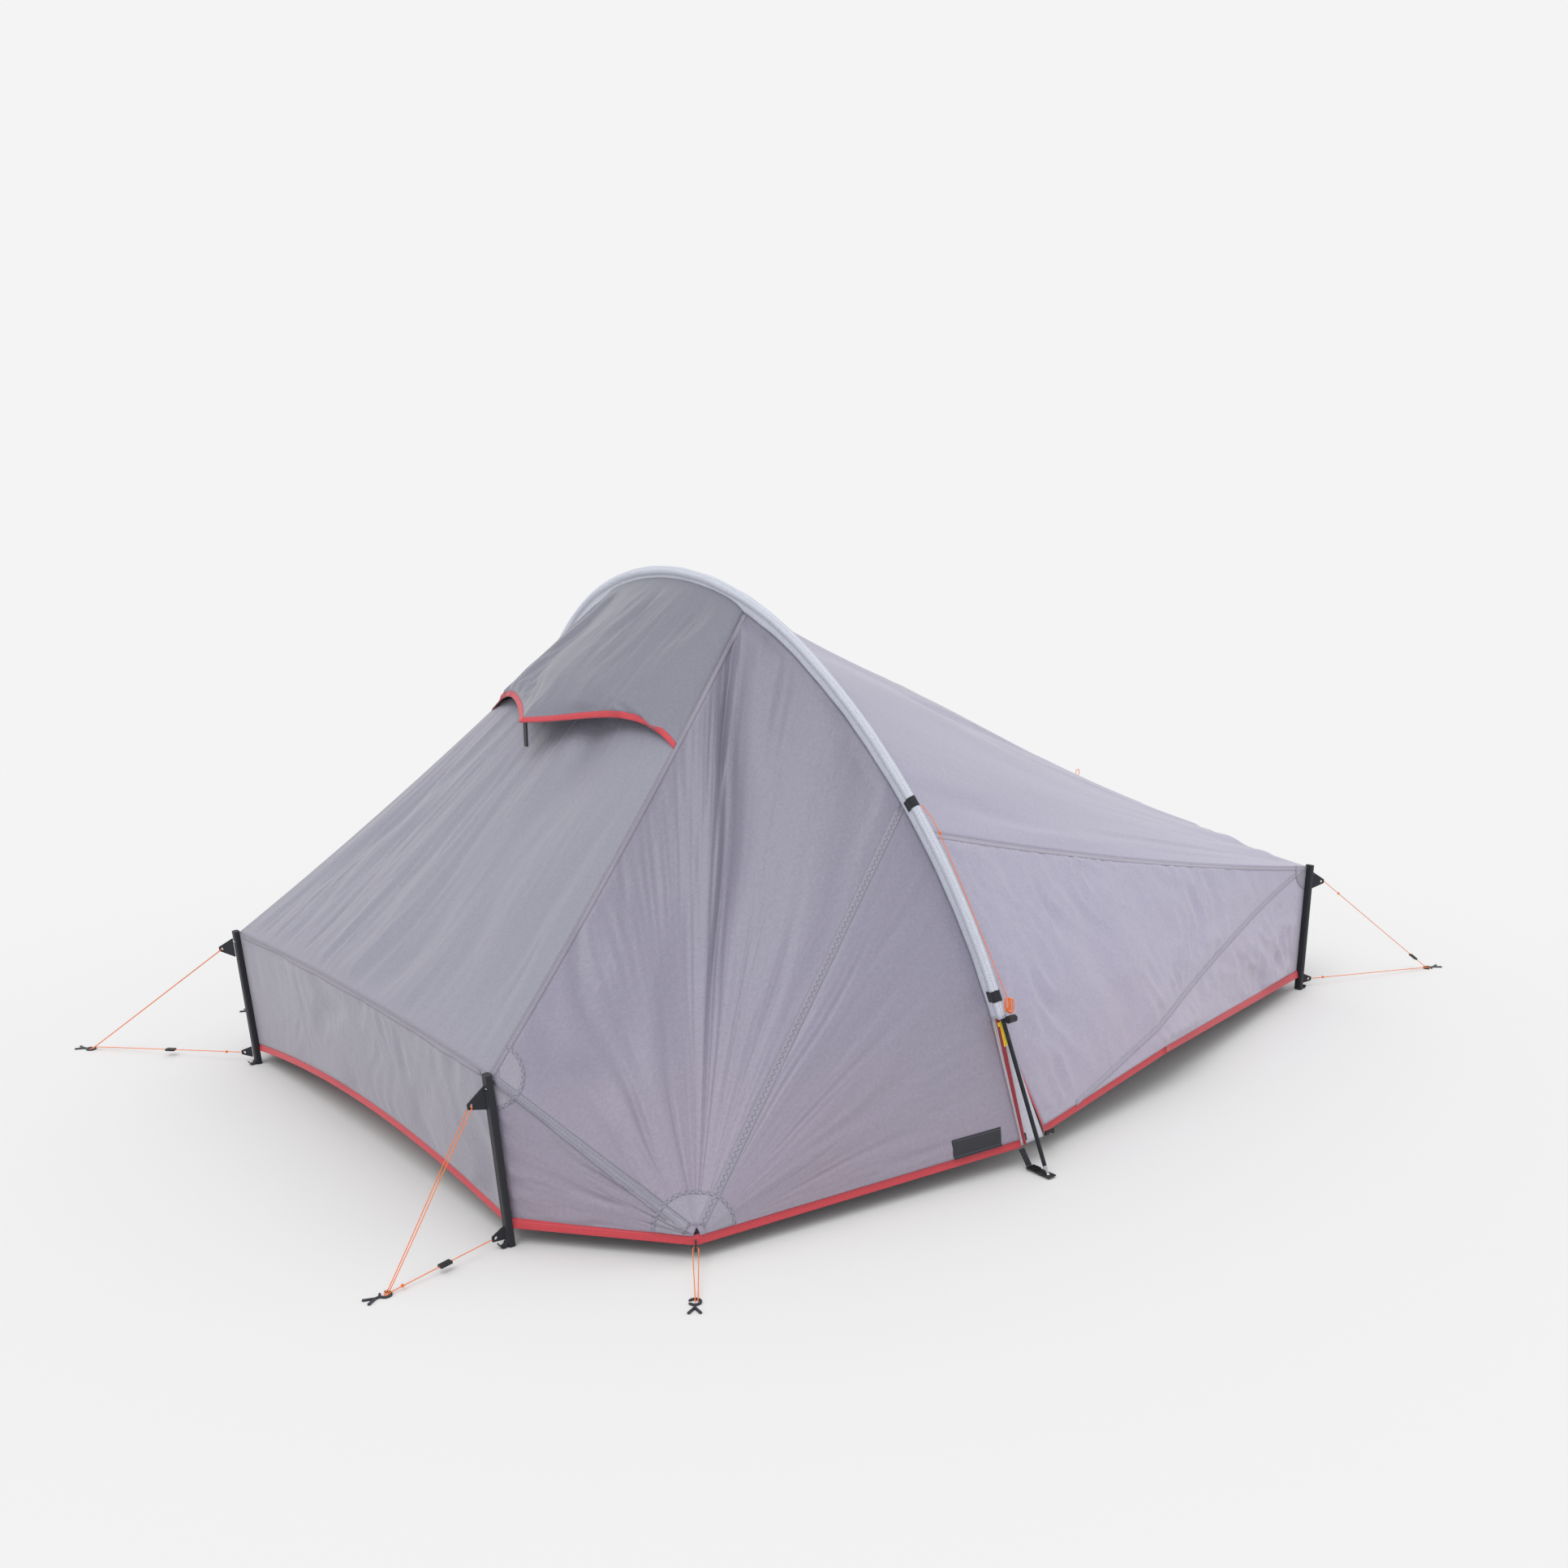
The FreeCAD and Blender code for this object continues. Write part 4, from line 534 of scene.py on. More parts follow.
for column in range(HELD_COLUMNS):
    hold = (1 - column / HELD_COLUMNS) ** 2
    hood_rows[:, column] = hood_rows[:, column] * (1 - hold) + hood_seam * hold
    hood_rows[:, -1 - column] = hood_rows[:, -1 - column] * (1 - hold) + hood_seam * FAR_SEAM * hold
HOOD_LAYERS = [(7, 1.2, 15.0 * MM, 0.25, 12.3), (18, 1.8, 8.0 * MM, 0.6, 30.1), (40, 3.5, 2.6 * MM, 0.7, 4.9)]
hood = cloth_panel("vent_hood_cloth", hood_rows, HOOD_LAYERS, fly_hood, 0.16)


def blend_with_hood(made):
    """Bakes the piece's transform into its mesh."""
    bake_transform(made)


blend_with_hood(hood)
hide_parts("vent_hood_panel", "vent_hood_visor")
declare_sheet("vent_hood_cloth")
print("hood reaches", HOOD_REACH, "m forward of its ends")

# %% [markdown]
# The side wall has three panels that meet at the peg in the middle of the hem.  Their threads fan out
# from it, as the pull lines of the cloth do.

# %% Side wall panels
FAN_START = 0.012


def fan_rows(apex, edge, count):
    """Grid of threads that run together at a peg, with a small opening left round it."""
    return threads(apex + (edge - apex) * FAN_START, edge, count)


PEG_CORNER = MIDDLE_HEM + UP * BINDING
arch_edge = arch_line(ROOF_SEAM, SIDE_SEAM, 60, -PANEL_EDGE, -PANEL_SIDE)
upper_edge = np.concatenate([roof_rows[:, 0], arch_edge[1:]])
main_rows = fan_rows(PEG_CORNER, along(upper_edge, 190), 120)
MAIN_LAYERS = [(9, 1.2, 14.0 * MM, 0.1, 21.0), (22, 1.6, 8.0 * MM, 0.4, 33.0), (64, 3.0, 2.2 * MM, 0.7, 7.7)]
side_main = cloth_panel("side_main_near", main_rows, MAIN_LAYERS, fly_side, 0.045)

rear_edge = np.concatenate([arch_line(SIDE_SEAM, SLEEVE_START, 40, -PANEL_EDGE, -PANEL_SIDE),
                            straight(arch_point(SLEEVE_START, -PANEL_EDGE, -PANEL_SIDE),
                                     ARCH_HEM + np.array([-PANEL_SIDE, 0, BINDING]), 30)[1:]])
rear_rows = fan_rows(PEG_CORNER, along(rear_edge, 110), 100)
side_rear = cloth_panel("side_rear_near", rear_rows,
                        [(6, 1.5, 8.0 * MM, 0.3, 41.0), (22, 2.5, 3.0 * MM, 0.7, 3.0)], fly_side, 0.05)

corner_top = straight(TOP["b"], PEG_CORNER, 90)
corner_rows = threads(corner_top, straight(FOOT["b"] + UP * BINDING, PEG_CORNER, 90), 60)[:, :-1]
side_corner = cloth_panel("side_corner_near", corner_rows,
                          [(2.0, 6, 7.0 * MM, 0.3, 2.0), (3, 14, 3.0 * MM, 0.6, 9.0)], fly_side, 0.05)
for made in (side_main, side_rear, side_corner):
    name = made.name
    for piece in (made, mirrored(made, name.replace("near", "far"))):
        on_tent(piece, "fly_fabric", "fly_" + name.replace("_near", ""))
        declare_sheet(name)
print("side wall of three panels meets at", tuple(round(float(v), 2) for v in PEG_CORNER))

# %% [markdown]
# On the right the roof falls in one long panel from the arch to the gable of the end wall.

# %% Roof on the right
ridge_crest = arch_line(EAVE_SEAM, 2 * HALF_ARCH - EAVE_SEAM, 181, -PANEL_EDGE, DOOR_SIDE)
eave_right = []
for share in np.linspace(-1, 1, 181):
    t = (share + 1) / 2
    eave_right.append(TOP["c"] * (1 - t) + TOP["d"] * t + UP * 0.095 * (1 - abs(share)) ** 1.2)
eave_right = np.array(eave_right)
right_rows = threads(ridge_crest, eave_right, 150, SEAM_SAG)
ridge_calm = np.minimum(1, np.abs(np.linspace(-1, 1, 181)) / 0.12)[None, :]
LONG_LAYERS = [(12, 1.0, 17.0 * MM, 0.2, 51.0), (30, 1.6, 9.0 * MM, 0.6, 17.0), (64, 3, 2.6 * MM, 0.6, 5.0)]
roof_right = cloth_panel("roof_right", right_rows, LONG_LAYERS, fly_right, 0.04, ridge_calm)
on_tent(roof_right, "fly_fabric", "fly_roof_right")
declare_sheet("roof_right")
print("right roof", round(CLOTH["roof_right"][0], 2), "square metres")

# %% [markdown]
# Below it the side wall is one cloth.  Its front part is the door, which folds back on a line from the
# arch to the hem.  A seam crosses the wall from the strut's top to the hem, and holds the cloth flat along
# its way.

# %% Wall on the right
eave_near = right_rows[:, 0]
hem_corner = straight(FOLD_HEM, FOOT["c"], 40)
wall_hem = along(np.concatenate([straight(DOOR_HEM, FOLD_HEM, 40), hem_corner[1:]]), 150)
wall_hem = wall_hem + UP * BINDING
zip_edge = along(np.concatenate([arch_line(EAVE_SEAM, SLEEVE_START, 40, -PANEL_EDGE, DOOR_SIDE),
                                 straight(arch_point(SLEEVE_START, -PANEL_EDGE, DOOR_SIDE),
                                          DOOR_HEM + UP * BINDING, 30)[1:]]), 100)
strut_edge = straight(TOP["c"], FOOT["c"] + UP * BINDING, 100)


def four_sided(top, bottom, left, right):
    """Grid that blends four edge lines: top and bottom run left to right, left and right run down."""
    m, n = len(left), len(top)
    t, u = np.linspace(0, 1, m)[:, None, None], np.linspace(0, 1, n)[None, :, None]
    ruled = (1 - t) * top[None] + t * bottom[None] + (1 - u) * left[:, None] + u * right[:, None]
    corners = (1 - t) * (1 - u) * top[0] + (1 - t) * u * top[-1]
    return ruled - (corners + t * (1 - u) * bottom[0] + t * u * bottom[-1])


wall_rows = four_sided(along(eave_near, 150), wall_hem, zip_edge, strut_edge)
WALL_SEAM_FOOT = DOOR_HEM + (FOLD_HEM - DOOR_HEM) * 0.22 + UP * BINDING
seam_way = (WALL_SEAM_FOOT - TOP["c"]) / np.linalg.norm(WALL_SEAM_FOOT - TOP["c"])
wall_out = normals_of(wall_rows).mean(axis=(0, 1))
seam_across = np.cross(seam_way, wall_out / np.linalg.norm(wall_out))
wall_calm = np.clip(np.abs((wall_rows - TOP["c"]) @ seam_across) / 0.05, 0.15, 1.0)
WALL_LAYERS = [(9, 1.6, 16.0 * MM, 0.3, 61.0), (26, 4.0, 8.0 * MM, 0.8, 23.0), (60, 9.0, 2.4 * MM, 0.8, 2.5)]
wall = cloth_panel("wall_right_near", wall_rows, WALL_LAYERS, fly_right, 0.05, wall_calm)
fold_way = FOLD_HEM - EAVE_START
fold_side = np.cross(fold_way / np.linalg.norm(fold_way), np.array([0, 1.0, 0]))
fold_side = fold_side / np.linalg.norm(fold_side) * (1 if fold_side[0] < 0 else -1)
SIDES = (("near", 1), ("far", -1))


def blend_with_door(made):
    """Bakes the piece's transform into its mesh."""
    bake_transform(made)


for made, (side, turn) in zip((wall, mirrored(wall, "wall_right_far")), SIDES):
    blend_with_door(made)
    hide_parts("fly_side_fixed", "door_flap_" + side)
    declare_sheet("wall_right_near")
print("right wall", round(CLOTH["wall_right_near"][0], 2), "square metres")

# %% [markdown]
# The end walls are low and hang from the eave between two struts.  Their hem rises a little in the
# middle, as the edge of a cloth does that is pulled from its two ends.

# %% End walls
END_RISE = 0.046
END_LAYERS = [(9, 1.4, 9.0 * MM, 0.3, 71.0), (24, 3.0, 3.0 * MM, 0.7, 13.0)]


def end_wall(side, low, high, eave, finish):
    """An end wall, from its hem up to its eave."""
    hem = straight(FOOT[low], FOOT[high], FINE)
    rise = np.array([UP * (END_RISE * 4 * t * (1 - t) + BINDING) for t in np.linspace(0, 1, FINE)])
    name = "end_wall_" + side
    made = cloth_panel(name, threads(hem + rise, along(eave, FINE), 70), END_LAYERS, finish, 0.05)
    on_tent(made, "fly_fabric", "fly_" + name)
    declare_sheet(name)
    return made


end_left = end_wall("left", "b", "a", eave_left, fly_left)
end_right = end_wall("right", "c", "d", eave_right, fly_right)
print(len(CLOTH), "panels of cloth")

# %% [markdown]
# Everything else that is sewn to the flysheet lies on it: seams, patches, tapes and the label.  Such a
# strip is a grid of its own.  A ray from outside finds the cloth under each of its points, so the strip
# follows every fold.  A hit that is too far away belongs to another piece, and is left out.

# %% Strips that lie on the cloth
def skin_of(*pieces):
    """What a ray can hit: the faces of these pieces."""
    verts, faces = [], []
    for piece in pieces:
        start = len(verts)
        verts += [v.co.copy() for v in piece.data.vertices]
        faces += [[start + i for i in polygon.vertices] for polygon in piece.data.polygons]
    return BVHTree.FromPolygons(verts, faces)


RAY_REACH, FOLD_REACH = 60 * MM, 20 * MM
STRIP_THICKNESS, SEAM_LIFT = 0.5 * MM, 0.5 * MM


def laid_on(name, grid, skin, lift, finish, body="tent", reach=FOLD_REACH):
    """A strip over a grid of places, moved onto the cloth and standing proud of it by lift."""
    m, n = grid.shape[:2]
    outside = normals_of(grid)
    if np.sum(outside * (grid - HEART)) < 0:
        outside = -outside
    placed = grid + outside * lift
    for i, j in itertools.product(range(m), range(n) if skin else ()):
        way, place = Vector(outside[i, j]), Vector(grid[i, j])
        hit = skin.ray_cast(place + way * RAY_REACH, -way, 2 * RAY_REACH)[0]
        if hit and (hit - place).length < reach:
            placed[i, j] = np.array(hit) + outside[i, j] * lift
    length = np.concatenate([[0], np.cumsum(np.linalg.norm(np.diff(grid[:, 0], axis=0), axis=1))])
    width = np.concatenate([[0], np.cumsum(np.linalg.norm(np.diff(grid[m // 2], axis=0), axis=1))])
    uvs = [(length[i], width[j] - width[-1] / 2) for i in range(m) for j in range(n)]
    made = new_mesh(name, placed.reshape(-1, 3), grid_faces(m, n), uvs)
    edit_normals_out(made)
    thicken(made, STRIP_THICKNESS)
    made.data.materials.append(finish)
    if body:
        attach(made, body)
    return made


def edit_normals_out(made):
    """Turn every face of an open strip away from the middle of the tent."""
    middle = Vector(HEART)
    if sum(face.normal.dot(face.center - middle) for face in made.data.polygons) < 0:
        made.data.flip_normals()


print("rays start", RAY_REACH / MM, "mm outside the cloth")

# %% [markdown]
# A strip along a line needs a width as well.  It points across the line, in the plane of the cloth, so it
# is worked out from the way that the cloth faces.

# %% Bands along a line
def facing(*grids):
    """The way these pieces of cloth face on average, away from the middle of the tent."""
    total = np.zeros(3)
    for rows in grids:
        outside = normals_of(rows)
        total += outside.mean(axis=(0, 1)) * np.sign(np.sum(outside * (rows - HEART)))
    return total / np.linalg.norm(total)


def band(line, width, across, count=5, shift=0.0):
    """Grid of a strip of this width along a line; its width points across."""
    line = np.asarray(line)
    ahead = np.gradient(line, axis=0)
    ahead = ahead / np.linalg.norm(ahead, axis=1, keepdims=True)
    across = across - ahead * np.sum(across * ahead, axis=1, keepdims=True)
    across = across / np.linalg.norm(across, axis=1, keepdims=True)
    width = np.broadcast_to(np.asarray(width, float), len(line))[:, None]
    shares = np.linspace(-0.5, 0.5, count)
    return np.stack([line + across * (width * share + shift) for share in shares], axis=1)


print("the left wall faces", [round(float(v), 2) for v in facing(main_rows)])

# %% [markdown]
# A seam shows as two rows of stitches that press the folded cloth down.  Thread is finer than half a
# millimetre, too fine to show from here, so each row of stitches is drawn nearly a millimetre wide.

# %% Stitched cloth
STITCH_LENGTH = 3.2 * MM
STITCH_WIDTH = 0.9 * MM


def stitched_cloth(name, shade, thread, rows=(), zigzag=0.0, rough=0.55, weave=0.7 * MM):
    """Cloth with rows of stitches at these places across it, or one zigzag of this height."""
    finish, tree, shader = new_finish(name, shade, rough, sheen=0.15)
    lay = add_node(tree, "ShaderNodeUVMap", uv_map="lay")
    apart = add_node(tree, "ShaderNodeSeparateXYZ", links={"Vector": lay.outputs["UV"]})
    marks = []
    for place in rows:
        offset = add_node(tree, "ShaderNodeMath", {1: place}, {0: apart.outputs["Y"]}, operation="SUBTRACT")
        away = add_node(tree, "ShaderNodeMath", links={0: offset.outputs["Value"]}, operation="ABSOLUTE")
        near = add_node(tree, "ShaderNodeMath", {1: STITCH_WIDTH / 2}, {0: away.outputs["Value"]},
                        operation="LESS_THAN")
        beat = add_node(tree, "ShaderNodeMath", {1: STITCH_LENGTH}, {0: apart.outputs["X"]},
                        operation="PINGPONG")
        dash = add_node(tree, "ShaderNodeMath", {1: STITCH_LENGTH * 0.3}, {0: beat.outputs["Value"]},
                        operation="GREATER_THAN")
        marks.append(add_node(tree, "ShaderNodeMath",
                              links={0: near.outputs["Value"], 1: dash.outputs["Value"]},
                              operation="MULTIPLY"))
    if zigzag:
        wave = add_node(tree, "ShaderNodeMath", {1: zigzag}, {0: apart.outputs["X"]}, operation="PINGPONG")
        centred = add_node(tree, "ShaderNodeMath", {1: zigzag / 2}, {0: wave.outputs["Value"]},
                           operation="SUBTRACT")
        offset = add_node(tree, "ShaderNodeMath", links={0: apart.outputs["Y"], 1: centred.outputs["Value"]},
                          operation="SUBTRACT")
        away = add_node(tree, "ShaderNodeMath", links={0: offset.outputs["Value"]}, operation="ABSOLUTE")
        marks.append(add_node(tree, "ShaderNodeMath", {1: STITCH_WIDTH * 0.7}, {0: away.outputs["Value"]},
                              operation="LESS_THAN"))
    total = marks[0]
    for mark in marks[1:]:
        total = add_node(tree, "ShaderNodeMath", links={0: total.outputs["Value"], 1: mark.outputs["Value"]},
                         operation="MAXIMUM")
    place = add_node(tree, "ShaderNodeTexCoord")
    yarn = add_node(tree, "ShaderNodeTexNoise", {"Scale": 1 / (4 * MM), "Detail": 2.0},
                    {"Vector": place.outputs["Object"]})
    grain = add_node(tree, "ShaderNodeMapRange",
                     {"From Min": 0.3, "From Max": 0.7, "To Min": 0.92, "To Max": 1.07},
                     {"Value": yarn.outputs["Fac"]})
    ground = add_node(tree, "ShaderNodeMixRGB", {"Fac": 1.0, "Color1": linear(shade)},
                      {"Color2": grain.outputs["Result"]}, blend_type="MULTIPLY")
    sewn = add_node(tree, "ShaderNodeMixRGB", {"Color2": linear(thread)},
                    {"Fac": total.outputs["Value"], "Color1": ground.outputs["Color"]})
    tree.links.new(sewn.outputs["Color"], shader.inputs["Base Color"])
    fine = add_node(tree, "ShaderNodeTexBrick",
                    {"Scale": 1 / weave, "Mortar Size": 0.12, "Brick Width": 1.0, "Row Height": 1.0},
                    {"Vector": lay.outputs["UV"]}, offset=0.5)
    woven = add_node(tree, "ShaderNodeBump", {"Strength": 0.25, "Distance": 0.2 * MM},
                     {"Height": fine.outputs["Fac"]})
    raised = add_node(tree, "ShaderNodeBump", {"Strength": 0.6, "Distance": 0.4 * MM},
                      {"Height": total.outputs["Value"], "Normal": woven.outputs["Normal"]})
    tree.links.new(raised.outputs["Normal"], shader.inputs["Normal"])
    return finish


print("stitches", STITCH_LENGTH / MM, "mm long")

# %% [markdown]
# A plain seam has two rows of stitches and a reinforced one has four.  Patches have none but a zigzag
# round their edge.  The pale finishes are for the cloth in the light.

# %% Finishes for the seams
TWO_ROWS = (-3.2 * MM, 3.2 * MM)
FOUR_ROWS = (-9 * MM, -3 * MM, 3 * MM, 9 * MM)
felled_seam = stitched_cloth("felled_seam_grey", "#8f8a98", "#6f6c7a", rows=TWO_ROWS)
wide_seam = stitched_cloth("reinforced_seam_grey", "#8c8a98", "#74727f", rows=FOUR_ROWS)
zigzag_seam = stitched_cloth("zigzag_seam_grey", "#908c9b", "#5f5e6c", zigzag=6 * MM)
pale_seam = stitched_cloth("felled_seam_pale", "#a5a0b1", "#86828f", rows=TWO_ROWS)
patch_cloth = stitched_cloth("patch_nylon_grey", "#9793a1", "#8a8694", rows=(0.3,))

print("seams of", len(TWO_ROWS), "and", len(FOUR_ROWS), "rows")

# %% [markdown]
# Each seam joins two panels.  The cloth's edges are folded into each other and sewn through, so the seam
# is a slightly raised band with the stitches along it.  The one from the peg to the arch has a zigzag
# stitch, and the one from the strut to the peg gets wider towards the peg.

# %% Seams of the flysheet
skin_near = skin_of(side_main, side_rear, side_corner)
skin_wall = skin_of(wall)
roof_line = along(roof_rows[:, 0], 110)
corner_line = straight(TOP["b"], PEG_CORNER, 70)[2:-3]
rear_line = straight(PEG_CORNER, arch_point(SIDE_SEAM, -PANEL_EDGE, -PANEL_SIDE), 90)[2:-1]
eave_line = along(right_rows[:, 0], 90)
across_corner = np.cross(PEG_CORNER - TOP["b"], facing(main_rows, corner_rows))
across_rear = np.cross(rear_line[-1] - rear_line[0], facing(main_rows, rear_rows))
seam_runs = [
    ("roof_seam", roof_line, 11 * MM, felled_seam, skin_near, PEG_CORNER - roof_line, 6 * MM),
    ("corner_seam", corner_line, np.linspace(15 * MM, 24 * MM, 65), wide_seam, skin_near, across_corner, 0.0),
    ("rear_seam", rear_line, 16 * MM, zigzag_seam, skin_near, across_rear, 0.0),
    ("eave_seam", eave_line, 11 * MM, pale_seam, skin_wall, FOLD_HEM - eave_line, 6 * MM),
]
for title, line, width, finish, skin, way, shift in seam_runs:
    grid = band(line, width, way, 5, shift)
    near = laid_on(title + "_near", grid, skin, SEAM_LIFT, finish)
    on_tent(mirrored(near, title + "_far"), "fly_fabric")


for title, line, piece, finish in (("end_seam_left", eave_left, end_left, felled_seam),
                                   ("end_seam_right", eave_right, end_right, pale_seam)):
    grid = band(along(line, 90)[2:-2], 10 * MM, -UP, 5, 6 * MM)
    laid_on(title, grid, skin_of(piece), SEAM_LIFT, finish)


wall_seam_line = straight(TOP["c"], WALL_SEAM_FOOT, 100)[2:-1]
wall_seam_grid = band(wall_seam_line, 13 * MM, seam_across)
wall_seam = laid_on("wall_seam_near", wall_seam_grid, skin_wall, SEAM_LIFT, pale_seam, None,
                    RAY_REACH)
for made, (side, turn) in zip((wall_seam, mirrored(wall_seam, "wall_seam_far")), SIDES):
    blend_with_door(made)
print(len(seam_runs) + 1, "seams on each side, and one at each end")

# %% [markdown]
# A corner that is pulled hard has a second piece of cloth over it, cut as part of a disc, with a zigzag
# stitch round its edge.

# %% Corner patches
def half_ring(centre, radius_in, radius_out, ways, rings, steps):
    """Grid between two arcs round a corner; the ways are directions in the cloth, from first to last."""
    ways = [w / np.linalg.norm(w) for w in ways]
    grid = []
    for a, b in zip(ways[:-1], ways[1:]):
        opening = math.acos(float(np.clip(a @ b, -1, 1)))
        for turn in np.linspace(0, 1, steps)[:-1]:
            way = (a * math.sin((1 - turn) * opening) + b * math.sin(turn * opening)) / math.sin(opening)
            grid.append([centre + way * r for r in np.linspace(radius_in, radius_out, rings)])
    grid.append([centre + ways[-1] * r for r in np.linspace(radius_in, radius_out, rings)])
    return np.array(grid)


RISING = arch_point(ROOF_SEAM - 0.15, -PANEL_EDGE, -PANEL_SIDE)
PATCHES = [
    ("peg_patch", PEG_CORNER, 0.082, (FOOT["b"] + UP * 0.022 - PEG_CORNER, TOP["b"] - PEG_CORNER,
                                      RISING - PEG_CORNER, ARCH_HEM + UP * 0.022 - PEG_CORNER), skin_near),
    ("corner_patch", TOP["b"], 0.066, (FOOT["b"] - TOP["b"] + np.array([0.02, 0, 0]), PEG_CORNER - TOP["b"],
                                       roof_rows[60, 0] - TOP["b"] + (PEG_CORNER - TOP["b"]) * 0.03),
     skin_near),
    ("pocket_patch", TOP["c"], 0.060, (FOOT["c"] - TOP["c"] - np.array([0.02, 0, 0]), FOLD_HEM - TOP["c"],
                                       right_rows[60, 0] - TOP["c"] + (FOLD_HEM - TOP["c"]) * 0.03),
     skin_wall),
]
PATCH_START, PATCH_RIM = 20 * MM, 7 * MM
for title, centre, radius, ways, skin in PATCHES:
    cloth = laid_on(title + "_near", half_ring(centre, PATCH_START, radius, ways, 9, 16), skin, 0.3 * MM,
                    patch_cloth)
    rim = laid_on(title + "_rim_near", half_ring(centre, radius - PATCH_RIM, radius, ways, 4, 22), skin,
                  0.7 * MM, zigzag_seam)
    for made in (cloth, rim):
        on_tent(mirrored(made, made.name.replace("near", "far")), "fly_fabric")
print(len(PATCHES), "patches on each side")

# %% [markdown]
# The hems, the lip of the hood and the edges of the doors are bound with red tape, folded in half over
# the raw edge of the cloth and sewn through.  The tape is a loop in section, swept along the edge.  A
# bevelled curve would twist with the line, so the section is turned one by one to stay in the plane of
# the cloth.

# %% Folded tape
binding_red = stitched_cloth("binding_tape_red", "#c23b45", "#d8606a", rows=(3.6 * MM,), rough=0.6,
                             weave=0.9 * MM)
TAPE_THICKNESS = 1.4 * MM
TAPE_SECTION = [(0.0, 0.35), (0.06, 0.85), (0.2, 1.0), (0.5, 1.15), (0.75, 1.0), (0.86, 0.75), (1.0, 0.8),
                (1.0, -0.8), (0.86, -0.75), (0.75, -1.0), (0.5, -1.15), (0.2, -1.0), (0.06, -0.85),
                (0.0, -0.35)]


def folded_tape(name, line, width, ups):
    """Tape folded over an edge: line is its fold, ups the way to its open side, one for each place."""
    line, ups = np.asarray(line), np.asarray(ups)
    ahead = np.gradient(line, axis=0)
    ahead = ahead / np.linalg.norm(ahead, axis=1, keepdims=True)
    ups = ups - ahead * np.sum(ups * ahead, axis=1, keepdims=True)
    ups = ups / np.linalg.norm(ups, axis=1, keepdims=True)
    outs = np.cross(ahead, ups)
    half = TAPE_THICKNESS / 2
    count = len(TAPE_SECTION)
    verts, uvs, length = [], [], 0.0
    for k, place in enumerate(line):
        ripple = 0.35 * MM * noise.noise(Vector((k * 0.21, 3.3, 0)))
        length += np.linalg.norm(line[k] - line[k - 1]) if k else 0.0
        for height, side in TAPE_SECTION:
            verts.append(place + ups[k] * height * width + outs[k] * (side * half + ripple * height))
            uvs.append((length, (height - 0.5) * width))
    faces = []
    for k, i in itertools.product(range(len(line) - 1), range(count)):
        here, after = k * count, (k + 1) * count
        following = (i + 1) % count
        faces.append((here + i, here + following, after + following, after + i))
    faces.append(tuple(range(count)))
    faces.append(tuple(reversed(range((len(line) - 1) * count, len(line) * count))))
    made = new_mesh(name, verts, faces, uvs)
    middle = made.data.polygons[(len(line) // 2) * count + 3]
    if middle.normal.dot(Vector(outs[len(line) // 2])) < 0:
        made.data.flip_normals()
    made.data.materials.append(binding_red)
    return made


def tape_pair(name, line, ups, width, body, *nodes):
    """The same tape near and far, standing for these nodes; a node's name may hold the side."""
    near = folded_tape(name + "_near", line, width, ups)
    far = mirrored(near, name + "_far")
    for made, side in ((near, "near"), (far, "far")):
        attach(made, body.replace("SIDE", side))
        for node in nodes:
            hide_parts(node.replace("SIDE", side))


print("tape", TAPE_THICKNESS / MM, "mm thick")

# %% [markdown]
# The hem is held at the corners, at the peg in the middle of the side and at the pole's foot, and runs
# straight between them.  Each stretch gets its own tape, and the door's moves with the door.

# %% Hem tapes
def hem_line(*corners):
    """Places along the hem from corner to corner, closer together than a hand's width."""
    places = [np.asarray(corners[0])[None]]
    for first, last in zip(corners[:-1], corners[1:]):
        count = max(3, round(np.linalg.norm(last - first) / 0.02))
        places.append(straight(first, last, count)[1:])
    return np.concatenate(places)


HEM_TAPE = BINDING + 2 * MM
SIDE_WAY = UP + np.array([0, 0.25, 0])
IN_SLEEVE = np.array([0, -TUCK, 0])
HEMS = [
    ("hem_tape_left", (FOOT["b"] + IN_SLEEVE, MIDDLE_HEM, ARCH_HEM), "tent", "hem_binding"),
    ("door_hem_tape", (DOOR_HEM, FOLD_HEM), "door_SIDE", "door_hem_SIDE"),
    ("hem_tape_right", (FOLD_HEM, FOOT["c"] + IN_SLEEVE), "tent", "hem_binding"),
]
for title, corners, body, node in HEMS:
    line = hem_line(*corners)
    tape_pair(title, line, np.tile(SIDE_WAY, (len(line), 1)), HEM_TAPE, body, node)
END_LEAN, END_STEPS = 0.105, 64
end_rise = np.array([UP * END_RISE * 4 * t * (1 - t) for t in np.linspace(0, 1, END_STEPS)])
for side, low, high, lean in (("left", "b", "a", END_LEAN), ("right", "c", "d", -END_LEAN)):
    end_hem = straight(FOOT[low], FOOT[high], END_STEPS) + end_rise
    ups = np.tile(UP + np.array([lean, 0, 0]), (END_STEPS, 1))
    on_tent(folded_tape("hem_tape_end_" + side, end_hem, HEM_TAPE, ups), "tape_red", "hem_binding")
print("hem tape", round(HEM_TAPE / MM), "mm high")

# %% [markdown]
# The lip of the hood curls with its cloth, so its tape is two strips that follow the finished folds, one
# on each face.

